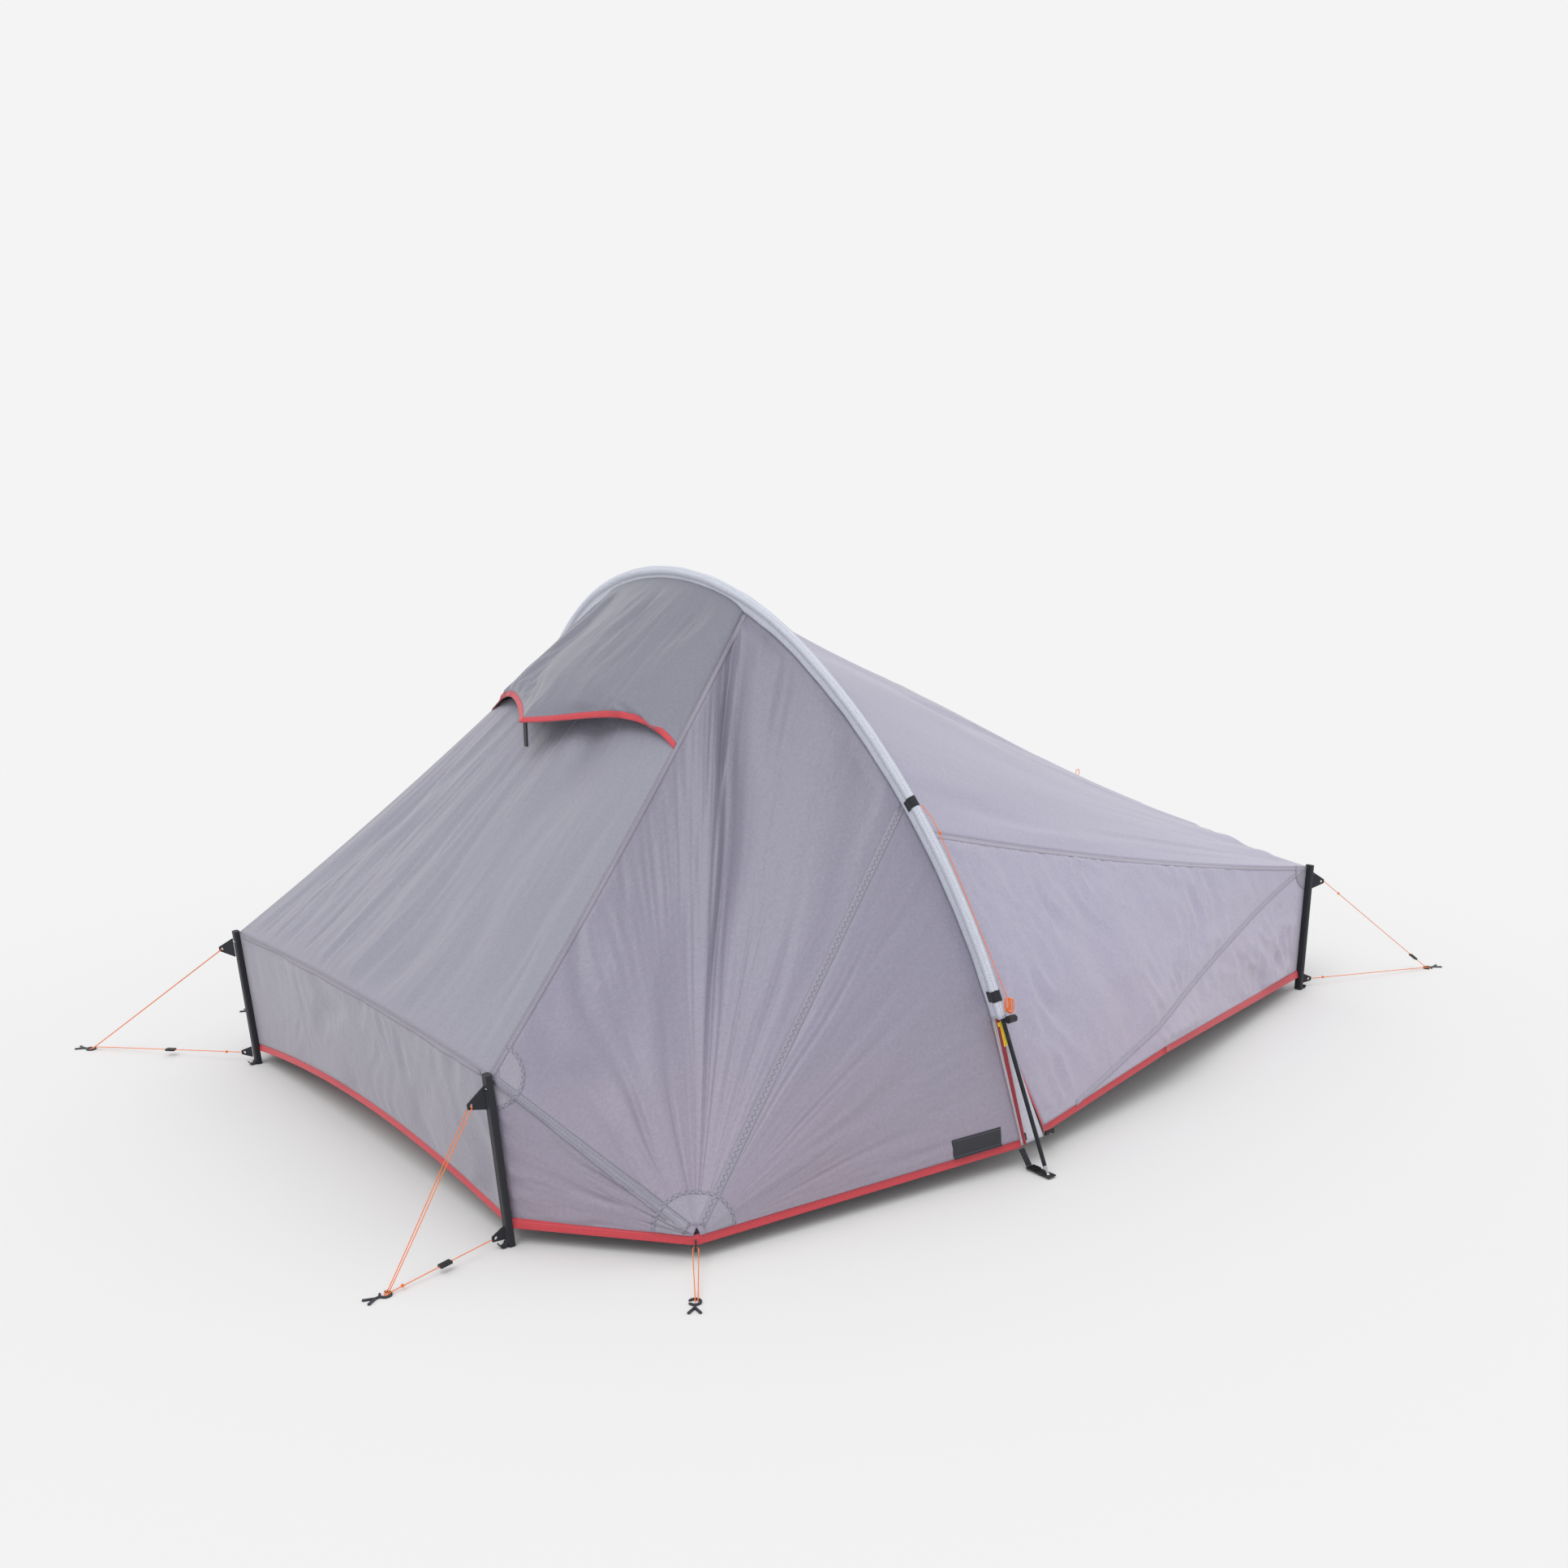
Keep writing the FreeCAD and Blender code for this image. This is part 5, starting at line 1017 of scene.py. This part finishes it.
# %% Tape on the hood's lip
LIP_TAPE = 15 * MM
LIP_SHARES = (0, 0.3, 0.7, 1)
lip_grid = []
for column in range(FINE):
    run = along(SHAPED["vent_hood_cloth"][::-1, column][:24], 200)
    reach = np.concatenate([[0], np.cumsum(np.linalg.norm(np.diff(run, axis=0), axis=1))])
    lip_grid.append([[np.interp(LIP_TAPE * share, reach, run[:, k]) for k in range(3)]
                     for share in LIP_SHARES])
for title, lift in (("hood_lip_tape", 0.9 * MM), ("hood_lip_tape_inside", -1.3 * MM)):
    lip_tape = laid_on(title, np.array(lip_grid), None, lift, binding_red, None)
    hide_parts("vent_hood_binding")
    blend_with_hood(lip_tape)
print("lip tape", round(LIP_TAPE / MM), "mm wide")

# %% [markdown]
# A thin red piping runs along the zip: on the roof it stays with the tent, and on the edge of the door it
# moves with the door.

# %% Piping by the zips
PIPING = 5 * MM
PIPING_TOP = 1.26
piping_roof = arch_line(PIPING_TOP, EAVE_SEAM, 60, -PANEL_EDGE + 0.012, DOOR_SIDE + 0.002)
roof_ups = arch_line(PIPING_TOP, EAVE_SEAM, 60, -PANEL_EDGE + 0.03, DOOR_SIDE) - piping_roof
tape_pair("zip_piping_roof", piping_roof, roof_ups, PIPING, "tent")
door_top = arch_line(EAVE_SEAM, SLEEVE_START, 40, -PANEL_EDGE - 0.001, DOOR_SIDE + 0.004)
door_foot = straight(arch_point(SLEEVE_START, -PANEL_EDGE, DOOR_SIDE + 0.004), DOOR_HEM + UP * BINDING, 30)
piping_door = along(np.concatenate([door_top, door_foot[1:]]), 70)
door_ups = np.tile(np.array([-0.9, -0.5, 0.2]), (70, 1))
tape_pair("zip_piping_door", piping_door, door_ups, PIPING * 1.6, "door_SIDE")
print("piping", PIPING / MM, "mm wide")

# %% [markdown]
# The arch pole runs in a sleeve of smooth pale cloth.  The cloth goes round the pole and is sewn flat
# below it, so the sleeve shows as a round tunnel with a flat web under it and a row of stitches between
# the two.

# %% Pole sleeve
SLEEVE_ROWS = (-0.5 * MM, 16.5 * MM)
sleeve_cloth = stitched_cloth("sleeve_cloth_silver", "#c6cad6", "#989ba8", rows=SLEEVE_ROWS, rough=0.5)
SLEEVE_SECTION = [(-29, -4.5), (-26, -5.2), (-19, -5.0), (-13.5, -4.4), (-11, -4.6), (-8, -6.6), (-3, -8.6),
                  (2, -8.6), (6, -6.4), (8.4, -2.6), (8.6, 2.0), (6.6, 6.0), (2, 8.8), (-3, 9.0), (-8, 8.2),
                  (-11, 7.4), (-13.5, 7.4), (-19, 8.6), (-26, 9.4), (-29, 9.6)]
WEB = 22 * MM      # the flat web below the pole, measured along the cloth


def sleeve_rows(stations, proud=0.0):
    """The sleeve's section at these places along the arch; proud moves it off the cloth."""
    section = np.array(SLEEVE_SECTION) * MM
    run = np.concatenate([[0], np.cumsum(np.linalg.norm(np.diff(section, axis=0), axis=1))])
    rows, uvs = [], []
    for s in stations:
        row = []
        for (radial, side), place in zip(section, run):
            slack = 1.3 * MM * noise.noise(Vector((s * 16, place * 60, 4.0)))
            soft = min(1.0, abs(radial + 12 * MM) / (10 * MM))
            way = np.array([max(radial + 10 * MM, 0.0), side])
            way = way / np.linalg.norm(way) * proud
            wide = side * (1 + 0.12 * noise.noise(Vector((s * 9, 1.0, side * 50))) * soft)
            moved = arch_point(s, radial + way[0], wide + way[1])
            row.append(moved + slack * soft * (1 if side > 0 else -1))
            uvs.append((s, place - WEB if side < 0 else run[-1] - WEB - place))
        rows.append(row)
    return np.array(rows), uvs, float(run[-1])


def pole_sleeve():
    """The whole sleeve, from foot to foot over the top of the arch."""
    stations = np.linspace(SLEEVE_START, 2 * HALF_ARCH - SLEEVE_START, 300)
    grid, uvs, girth = sleeve_rows(stations)
    made = new_mesh("pole_sleeve_cloth", grid.reshape(-1, 3), grid_faces(*grid.shape[:2]), uvs)
    centre = Vector(arch_point(HALF_ARCH, 0, 0))
    crown = Vector(arch_point(HALF_ARCH, 8 * MM, 0))
    top_face = min(made.data.polygons, key=lambda f: (f.center - crown).length)
    if top_face.normal.dot(top_face.center - centre) < 0:
        made.data.flip_normals()
    thicken(made, 0.8 * MM)
    made.data.materials.append(sleeve_cloth)
    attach(made, "tent")
    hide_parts("pole_sleeve")


pole_sleeve()

# %% [markdown]
# Below the sleeve a flat tail of the same cloth goes down to the hem, beside the foot of the pole.

# %% Tail of the sleeve
tail_left = straight(arch_point(SLEEVE_START + 0.01, -PANEL_EDGE, -PANEL_SIDE), ARCH_HEM + UP * 0.004, 40)
tail_right = straight(arch_point(SLEEVE_START + 0.01, -PANEL_EDGE + 0.010, DOOR_SIDE + 0.004),
                      ARCH_HEM + np.array([0.056, -0.006, 0.010]), 40)
TAIL_ROWS = (-10 * MM, 10 * MM)
tail_cloth = stitched_cloth("sleeve_tail_silver", "#c0c2cd", "#8d909d", rows=TAIL_ROWS, rough=0.5)
tail_grid = threads(tail_left, tail_right, 9)
tail_uvs = [(j * 8 * MM, (i - 4) * 4 * MM) for i in range(9) for j in range(40)]
tail = new_mesh("sleeve_tail_near", tail_grid.reshape(-1, 3), grid_faces(9, 40), tail_uvs)
edit_normals_out(tail)
thicken(tail, CLOTH_THICKNESS)
tail.data.materials.append(tail_cloth)
for made in (tail, mirrored(tail, "sleeve_tail_far")):
    on_tent(made, "sleeve_fabric")
print("tail", round(float(np.linalg.norm(tail_left[-1] - tail_left[0])), 3), "m long")

# %% [markdown]
# A woven label is sewn to the wall above the hem by its two long edges.  It is left blank.

# %% Label
label_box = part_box("blank_label")
label_cloth = stitched_cloth("woven_label_black", "#26272f", "#5a5c66", rows=(-15 * MM, 15 * MM), rough=0.7)
LABEL_LENGTH, LABEL_HEIGHT = 118 * MM, 38 * MM
hem_way = (ARCH_HEM - MIDDLE_HEM) / np.linalg.norm(ARCH_HEM - MIDDLE_HEM)
label_x = (label_box[0][0] + label_box[1][0]) / 2
label_foot = MIDDLE_HEM + hem_way * (label_x - MIDDLE_HEM[0]) / hem_way[0] + UP * (BINDING + LABEL_HEIGHT / 2)
half_label = hem_way * LABEL_LENGTH / 2
label_line = straight(label_foot - half_label, label_foot + half_label, 30)
label_grid = band(label_line, LABEL_HEIGHT, np.tile(SIDE_WAY, (30, 1)), 12)
label = laid_on("label_patch", label_grid, skin_near, 1.0 * MM, label_cloth)
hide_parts("blank_label")
print("label", round(LABEL_LENGTH / MM), "by", round(LABEL_HEIGHT / MM), "mm")

# %% [markdown]
# Webbing, braid and the inner tent are woven too, but they are seen on solid pieces with no flat lay of
# their own.  Two crossed waves through the solid stand for their yarns.

# %% Woven goods
WAVE_TURN = 6.3     # turns a pitch into a scale; the pitch that shows is rough and was not measured


def plain_weave(name, shade, rough, pitch, deep=0.35):
    """Woven goods seen on a solid piece: two crossed waves of yarn, with small changes of shade."""
    finish, tree, shader = new_finish(name, shade, rough, sheen=0.1)
    place = add_node(tree, "ShaderNodeTexCoord")
    waves = {"Scale": 1 / pitch / WAVE_TURN, "Distortion": 0.4}
    warp, weft = (add_node(tree, "ShaderNodeTexWave", waves, {"Vector": place.outputs["Object"]},
                           bands_direction=way) for way in ("Z", "DIAGONAL"))
    yarn = add_node(tree, "ShaderNodeMath", links={0: warp.outputs["Fac"], 1: weft.outputs["Fac"]},
                    operation="MULTIPLY")
    cloud = add_node(tree, "ShaderNodeTexNoise", {"Scale": 1 / (7 * MM), "Detail": 3.0},
                     {"Vector": place.outputs["Object"]})
    grain = add_node(tree, "ShaderNodeMapRange",
                     {"From Min": 0.3, "From Max": 0.7, "To Min": 0.9, "To Max": 1.1},
                     {"Value": cloud.outputs["Fac"]})
    toned = add_node(tree, "ShaderNodeMixRGB", {"Fac": 1.0, "Color1": linear(shade)},
                     {"Color2": grain.outputs["Result"]}, blend_type="MULTIPLY")
    tree.links.new(toned.outputs["Color"], shader.inputs["Base Color"])
    bump = add_node(tree, "ShaderNodeBump", {"Strength": deep, "Distance": 0.35 * MM},
                    {"Height": yarn.outputs["Value"]})
    tree.links.new(bump.outputs["Normal"], shader.inputs["Normal"])
    return finish


print("wave scale for a pitch of 1 mm:", round(1 / MM / WAVE_TURN, 1))

# %% [markdown]
# Inside stands the sleeping tent: a red coated tub with a pale breathable cloth above it.  Both are seen
# only through an open door, so they start from a merged copy of the frame's solid, and are then softened.

# %% Inner tent
def softened(node, name, finish, size, seed, cuts):
    """A wrinkled copy of a node's solid, made with the edit-mode tools."""
    made = NODES[node].copy()
    made.data = NODES[node].data.copy()
    made.parent = None
    made.name = made.data.name = name
    for key in list(made.keys()):
        del made[key]
    bpy.context.scene.collection.objects.link(made)
    bpy.ops.object.select_all(action="DESELECT")
    made.select_set(True)
    bpy.context.view_layer.objects.active = made
    bpy.ops.object.mode_set(mode="EDIT")
    bpy.ops.mesh.select_all(action="SELECT")
    bpy.ops.mesh.remove_doubles(threshold=0.02 * MM)
    bpy.ops.mesh.tris_convert_to_quads()
    bpy.ops.mesh.subdivide(number_cuts=cuts)
    bpy.ops.object.mode_set(mode="OBJECT")
    for vertex in made.data.vertices:
        at = vertex.co
        swell = noise.noise(at * 9 + Vector((seed, 0, 0))) + 0.4 * noise.noise(at * 31 + Vector((0, seed, 0)))
        vertex.co = at + Vector((swell, swell * (1 if at.y > 0 else -1), 0)) * size
    made.data.materials.clear()
    made.data.materials.append(finish)
    return made


inner_cloth = plain_weave("inner_polyester_pale", "#b9b4c0", 0.7, 1.2 * MM)
tub_cloth = plain_weave("tub_coated_red", "#a3303a", 0.45, 1.6 * MM)
canopy = softened("inner_canopy", "inner_canopy_cloth", inner_cloth, 4 * MM, 3.0, 5)
on_tent(canopy, "canopy_cloth", "inner_canopy")
tub = softened("inner_tub_floor", "inner_tub_cloth", tub_cloth, 1.0 * MM, 5.0, 3)
on_tent(tub, "floor_red", "inner_tub_floor")
print("inner tent", len(canopy.data.vertices) + len(tub.data.vertices), "points")

# %% [markdown]
# The rest of the frame keeps its own shape.  Webbing is nylon woven in thick ribs, the pole is drawn
# aluminium with a dark anodised skin, the buckles and the lock are moulded, and the anchors are stamped
# and anodised.

# %% Hard finishes
WEAR_PATCH = 18 * MM


def surface(name, shade, rough, metal, grit, stretch=(1, 1, 1), deep=0.1, wear=None):
    """A hard finish with a fine grit, drawn out along one way where the metal was rolled or drawn."""
    finish, tree, shader = new_finish(name, shade, rough, metal=metal)
    place = add_node(tree, "ShaderNodeTexCoord")
    turned = add_node(tree, "ShaderNodeMapping", {"Scale": stretch}, {"Vector": place.outputs["Object"]})
    fine = add_node(tree, "ShaderNodeTexNoise", {"Scale": 1 / grit, "Detail": 3.0},
                    {"Vector": turned.outputs["Vector"]})
    gloss = add_node(tree, "ShaderNodeMapRange",
                     {"From Min": 0.25, "From Max": 0.75, "To Min": rough * 0.8, "To Max": rough * 1.25},
                     {"Value": fine.outputs["Fac"]})
    tree.links.new(gloss.outputs["Result"], shader.inputs["Roughness"])
    patchy = add_node(tree, "ShaderNodeTexNoise", {"Scale": 1 / WEAR_PATCH, "Detail": 4.0, "Roughness": 0.65},
                      {"Vector": place.outputs["Object"]})
    amount = add_node(tree, "ShaderNodeMapRange",
                      {"From Min": 0.55, "From Max": 0.8, "To Min": 0.0, "To Max": 0.5},
                      {"Value": patchy.outputs["Fac"]}, clamp=True)
    worn = add_node(tree, "ShaderNodeMixRGB", {"Color1": linear(shade), "Color2": linear(wear or shade)},
                    {"Fac": amount.outputs["Result"]})
    tree.links.new(worn.outputs["Color"], shader.inputs["Base Color"])
    bump = add_node(tree, "ShaderNodeBump", {"Strength": deep, "Distance": 0.1 * MM},
                    {"Height": fine.outputs["Fac"]})
    tree.links.new(bump.outputs["Normal"], shader.inputs["Normal"])
    return finish


print("wear comes in patches of about", round(WEAR_PATCH / MM), "mm")

# %% [markdown]
# Identical kinds of piece share one finish.  Each name below is a node of the frame that is shown as it
# is.

# %% Finishes for the frame
black_webbing = plain_weave("nylon_webbing_black", "#1a1c24", 0.75, 1.6 * MM, 0.6)
yellow_webbing = plain_weave("nylon_webbing_yellow", "#f0cf2a", 0.7, 1.6 * MM, 0.5)
dark_pole = surface("anodised_aluminium_dark", "#25272d", 0.34, 0.55, 0.4 * MM, (1, 1, 0.08), wear="#3a3d45")
bare_tube = surface("drawn_aluminium_bare", "#b9bcc2", 0.3, 0.9, 0.4 * MM, (1, 1, 0.1))
carbon_rod = surface("pultruded_rod_black", "#2c2d31", 0.5, 0.0, 0.6 * MM, (1, 1, 0.05))
black_plastic = surface("acetal_moulded_black", "#17181b", 0.42, 0.0, 0.35 * MM, deep=0.25, wear="#26282d")
dark_anchor = surface("anodised_aluminium_graphite", "#3d4048", 0.4, 0.5, 0.5 * MM, deep=0.2,
                      wear="#74777f")
zip_tape = plain_weave("zip_tape_red", "#a23640", 0.7, 0.9 * MM)
orange_braid = plain_weave("braided_cord_orange", "#f07a25", 0.65, 0.8 * MM, 0.7)
black_braid = plain_weave("elastic_cord_black", "#2a2b31", 0.7, 0.8 * MM, 0.7)
FINISHES = {
    "corner_sleeves webbing_tabs pole_foot_webbing": black_webbing,
    "yellow_straps": yellow_webbing,
    "arch_pole_sections": dark_pole,
    "arch_pole_ferrules arch_pole_tips": bare_tube,
    "corner_rods vent_prop": carbon_rod,
    "corner_rod_caps adjuster_a adjuster_b adjuster_c adjuster_d cord_lock_bodies cord_lock_button_near "
    "cord_lock_button_far tension_buckle_near tension_buckle_far pole_foot_plates door_hook_near "
    "door_hook_far zip_slider_near zip_slider_far": black_plastic,
    "ground_anchors": dark_anchor,
    "door_zips": zip_tape,
    "arch_shock_cord": black_braid,
}
for names, finish in FINISHES.items():
    for name in names.split():
        for holder in NODES[name].material_slots:
            holder.material = finish
print(sum(len(names.split()) for names in FINISHES), "nodes get", len(FINISHES), "finishes")

# %% [markdown]
# The guy lines are braided cord, 1.8 mm thick.  Each route is a length and a list of control points that
# repeat the frame: out of its tab or knot, straight while it is tight, and round the hook of its peg.

# %% Routes of the guy lines
ROUTES = {
    "guy_corner_a": (1.440, [
        (-1.5387, 0.9966, 0.0013), (-1.5361, 0.9929, 0.0039), (-1.5328, 0.9885, 0.0055),
        (-1.3126, 0.6691, 0.2795), (-1.3066, 0.6613, 0.2864), (-1.2989, 0.6672, 0.2871),
        (-1.3041, 0.6756, 0.2803), (-1.5287, 0.9916, 0.0055), (-1.5320, 0.9960, 0.0039),
        (-1.5347, 0.9996, 0.0013), (-1.5376, 1.0033, 0.0013), (-1.5336, 1.0064, 0.0013),
        (-1.5307, 1.0026, 0.0013), (-1.5279, 0.9991, 0.0039), (-1.5245, 0.9948, 0.0055),
        (-1.2776, 0.6619, 0.0246)]),
    "guy_corner_b": (0.934, [
        (-1.5092, -0.6570, 0.0013), (-1.5047, -0.6563, 0.0039), (-1.4993, -0.6555, 0.0055),
        (-1.3232, -0.6297, 0.2756), (-1.3164, -0.6293, 0.2856), (-1.3152, -0.6389, 0.2857),
        (-1.3218, -0.6404, 0.2758), (-1.4986, -0.6607, 0.0055), (-1.5041, -0.6614, 0.0039),
        (-1.5085, -0.6619, 0.0013), (-1.5132, -0.6625, 0.0013), (-1.5126, -0.6675, 0.0013),
        (-1.5079, -0.6669, 0.0013), (-1.5034, -0.6664, 0.0039), (-1.4979, -0.6659, 0.0055),
        (-1.2895, -0.6337, 0.0235)]),
    "guy_corner_c": (0.872, [
        (1.1784, -0.6424, 0.2848), (1.5168, -0.7422, 0.0055), (1.5221, -0.7437, 0.0039),
        (1.5265, -0.7449, 0.0013), (1.5310, -0.7461, 0.0013), (1.5297, -0.7509, 0.0013),
        (1.5252, -0.7497, 0.0013), (1.5208, -0.7486, 0.0039), (1.5155, -0.7473, 0.0055),
        (1.1435, -0.6392, 0.0235)]),
    "guy_middle_near": (0.275, [
        (-1.1087, -1.0245, 0.0013), (-1.1060, -1.0209, 0.0039), (-1.1027, -1.0165, 0.0055),
        (-1.0399, -0.9290, 0.0337), (-1.0336, -0.9193, 0.0370), (-1.0415, -0.9137, 0.0370),
        (-1.0486, -0.9227, 0.0337), (-1.1069, -1.0135, 0.0055), (-1.1101, -1.0179, 0.0039),
        (-1.1127, -1.0216, 0.0013)]),
    "arch_guy_near": (0.415, [
        (-0.3751, -0.7779, 0.7215), (-0.3716, -0.7963, 0.7040), (-0.3698, -0.8184, 0.6834),
        (-0.3257, -0.9621, 0.3729), (-0.3259, -0.9691, 0.3600)]),
    "ridge_loop": (0.043, [
        (0.9156, 0.0, 0.5182), (0.9166, 0.0010, 0.5266), (0.9226, 0.0015, 0.5346),
        (0.9296, 0.0010, 0.5326), (0.9296, 0.0, 0.5246), (0.9256, 0.0, 0.5140)]),
}
FAR_SIDE = {"guy_corner_d": "guy_corner_c", "guy_middle_far": "guy_middle_near",
            "arch_guy_far": "arch_guy_near"}
print({name: length for name, (length, route) in ROUTES.items()})

# %% [markdown]
# A cord is a smooth curve with a round bevel, because it bends evenly and keeps its thickness.  A cord
# that is under load is taut, and a short one between tab and peg is loose.

# %% Guy lines
CORD = 1.8 * MM


def cord_curve(name, route):
    """A smooth round cord whose control points are the route."""
    curve = bpy.data.curves.new(name, "CURVE")
    curve.dimensions = "3D"
    line = curve.splines.new("NURBS")
    line.points.add(len(route) - 1)
    for control, place in zip(line.points, route):
        control.co = (*place, 1)
    line.order_u = 3
    line.use_endpoint_u = True
    line.resolution_u = 8
    curve.bevel_depth = CORD / 2
    curve.bevel_resolution = 3
    curve.use_fill_caps = True
    made = bpy.data.objects.new(name, curve)
    bpy.context.scene.collection.objects.link(made)
    return made


def tie(name, route):
    """A guy line along its route."""
    made = cord_curve(name + "_cord", route)
    made.data.materials.append(orange_braid)
    on_tent(made, "cord_orange", name)


for name, (length, route) in ROUTES.items():
    tie(name, route)
for name, source in FAR_SIDE.items():
    length, route = ROUTES[source]
    tie(name, [(x, -y, z) for x, y, z in route])
print(len(ROUTES) + len(FAR_SIDE), "guy lines")

# %% [markdown]
# A guy line is knotted below its adjuster and where it leaves a tab.  The knot is an overhand knot, whose
# cord runs as a trefoil pulled tight.

# %% Knots
KNOT_SIZE, KNOT_STEPS = 0.95 * MM, 24


def knot(name, start, end, share):
    """A knot at a share of the way from start to end, turned along that line."""
    turn = Vector((0, 0, 1)).rotation_difference(end - start).to_matrix()
    turns = []
    for k in range(KNOT_STEPS + 1):
        a = 2 * math.pi * k / KNOT_STEPS
        local = Vector((math.sin(a) + 2 * math.sin(2 * a), math.cos(a) - 2 * math.cos(2 * a),
                        -1.7 * math.sin(3 * a)))
        turns.append(start.lerp(end, share) + turn @ (local * KNOT_SIZE))
    made = cord_curve(name, turns)
    made.data.materials.append(orange_braid)
    bpy.ops.object.select_all(action="DESELECT")
    made.select_set(True)
    bpy.context.view_layer.objects.active = made
    bpy.ops.object.convert(target="MESH")
    on_tent(bpy.context.active_object, "cord_orange")


b_low, b_low_end = ROUTES["guy_corner_b"][1][-2:]
a_low, a_low_end = ROUTES["guy_corner_a"][1][-2:]
c_route = ROUTES["guy_corner_c"][1]
arch_route = ROUTES["arch_guy_near"][1]
KNOTS = [("knot_b", b_low, b_low_end, 0.10), ("knot_a", a_low, a_low_end, 0.90),
         ("knot_c_top", c_route[0], c_route[1], 0.14), ("knot_c_foot", c_route[-1], c_route[-2], 0.10),
         ("knot_arch", arch_route[2], arch_route[3], 0.04)]
for title, start, end, share in KNOTS:
    knot(title, Vector(start), Vector(end), share)
print(len(KNOTS), "knots")

# %% [markdown]
# The spare cord of each arch line is wound over the hand into a small hank that hangs below its end.  It
# stays a curve, wound in turns of changing width, as a hand-wound hank is never round.

# %% Hanks of spare cord
HANK_TURNS, HANK_STEPS = 5, 16
CORNER_CUT = 0.985      # a smooth curve is this much shorter than the line through its control points
hank_x, hank_y = arch_route[-1][:2]
for side, turn in SIDES:
    low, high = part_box("arch_guy_hank_" + side)
    middle = (low + high) / 2
    reach_z, reach_x = (high[2] - low[2]) / 2 - CORD, (high[0] - low[0]) / 2 - CORD
    route = [(hank_x, hank_y * turn, high[2] - CORD)]
    for k in range(HANK_TURNS * HANK_STEPS):
        a = 2 * math.pi * k / HANK_STEPS
        fan = 0.75 + 0.25 * math.sin(1.7 * k / HANK_STEPS * math.pi)
        route.append((middle[0] + math.sin(a) * reach_x * fan,
                      middle[1] + (k / (HANK_TURNS * HANK_STEPS) - 0.5) * (high[1] - low[1] - 2 * CORD),
                      middle[2] + math.cos(a) * reach_z * (0.86 + 0.14 * fan)))
    hank = cord_curve("arch_guy_coil_" + side, route)
    hank.data.materials.append(orange_braid)
    on_tent(hank, "cord_orange", "arch_guy_hank_" + side)
    length = float(np.linalg.norm(np.diff(np.array(route), axis=0), axis=1).sum()) * CORNER_CUT
    print("hank", side, round(length, 3), "m")

# %% [markdown]
# A white bar tack closes each corner sleeve, black webbing is wrapped twice round the foot of the pole
# sleeve, and a short loop of the same webbing on the ridge holds the cord.

# %% Small sewn details
white_thread = plain_weave("bar_tack_thread_white", "#d9dade", 0.7, 0.8 * MM)
TACK_HEIGHT, TACK_OUT, TACK_HALF = STRUT_LENGTH - 0.026, 7.8 * MM, 7.5 * MM
for corner in CORNERS:
    tack_line = [strut_point(corner, TACK_HEIGHT, -TACK_OUT, TACK_HALF * t) for t in np.linspace(-1, 1, 7)]
    tack = cord_curve("sleeve_tack_" + corner, [tuple(p) for p in tack_line])
    tack.data.bevel_depth = 0.7 * MM
    tack.data.materials.append(white_thread)
    on_tent(tack, "webbing_black")

WRAP_LENGTH = 22 * MM
for title, middle in (("high", 0.790), ("low", 0.375)):
    places = np.linspace(middle - WRAP_LENGTH / 2, middle + WRAP_LENGTH / 2, 9)
    wrap_grid = sleeve_rows(places, 1.3 * MM)[0][:, 2:-2]
    wrap = laid_on("sleeve_wrap_%s_near" % title, wrap_grid, None, 0.0, black_webbing)
    for made in (wrap, mirrored(wrap, "sleeve_wrap_%s_far" % title)):
        on_tent(made, "webbing_black", "sleeve_bands")

skin_ridge = skin_of(roof_right)
TAB_START, TAB_END, TAB_RISE = 0.896, 0.925, 5.5 * MM
tab_rows = []
for share in np.linspace(0, 1, 14):
    place = Vector((TAB_START + (TAB_END - TAB_START) * share, 0, 1))
    ridge_z = skin_ridge.ray_cast(place, Vector((0, 0, -1)))[0].z
    rise = TAB_RISE * math.sin(math.pi * share) ** 2 + 1.0 * MM
    tab_rows.append([(place.x, y, ridge_z + rise) for y in np.linspace(-3.5 * MM, 3.5 * MM, 4)])
laid_on("ridge_tab", np.array(tab_rows), None, 0.0, black_webbing)
print("wraps", round(WRAP_LENGTH / MM), "mm long, tacks at", round(TACK_HEIGHT, 3), "m up the struts")

# %% [markdown]
# A large soft sky and one broad lamp stand in for a studio.  The floor is plain and pale and runs to the
# horizon.  The pale tones are shown as they are, with no film curve over them.

# %% Floor and light
SKY_LEVEL = 0.905
bpy.context.scene.view_settings.view_transform = "Standard"
floor_finish = new_finish("studio_floor", "#e3e3e3", 1.0, specular=0.0)[0]
bpy.ops.mesh.primitive_plane_add(size=400, location=(0, 0, -0.5 * MM))
floor = bpy.context.active_object
floor.name = "studio_floor"
floor.data.materials.append(floor_finish)
sky = bpy.data.worlds.new("studio_sky")
sky.use_nodes = True
sky.node_tree.nodes["Background"].inputs["Color"].default_value = (SKY_LEVEL, SKY_LEVEL, SKY_LEVEL, 1)
sky.node_tree.nodes["Background"].inputs["Strength"].default_value = 1.0
bpy.context.scene.world = sky
lamp = bpy.data.lights.new("softbox", "SUN")
lamp.energy = 1.0
lamp.angle = math.radians(40)
lamp_stand = bpy.data.objects.new("softbox", lamp)
lamp_stand.rotation_euler = (math.radians(28), math.radians(-14), math.radians(-40))
bpy.context.scene.collection.objects.link(lamp_stand)
print("sky", SKY_LEVEL, "lamp", lamp.energy)
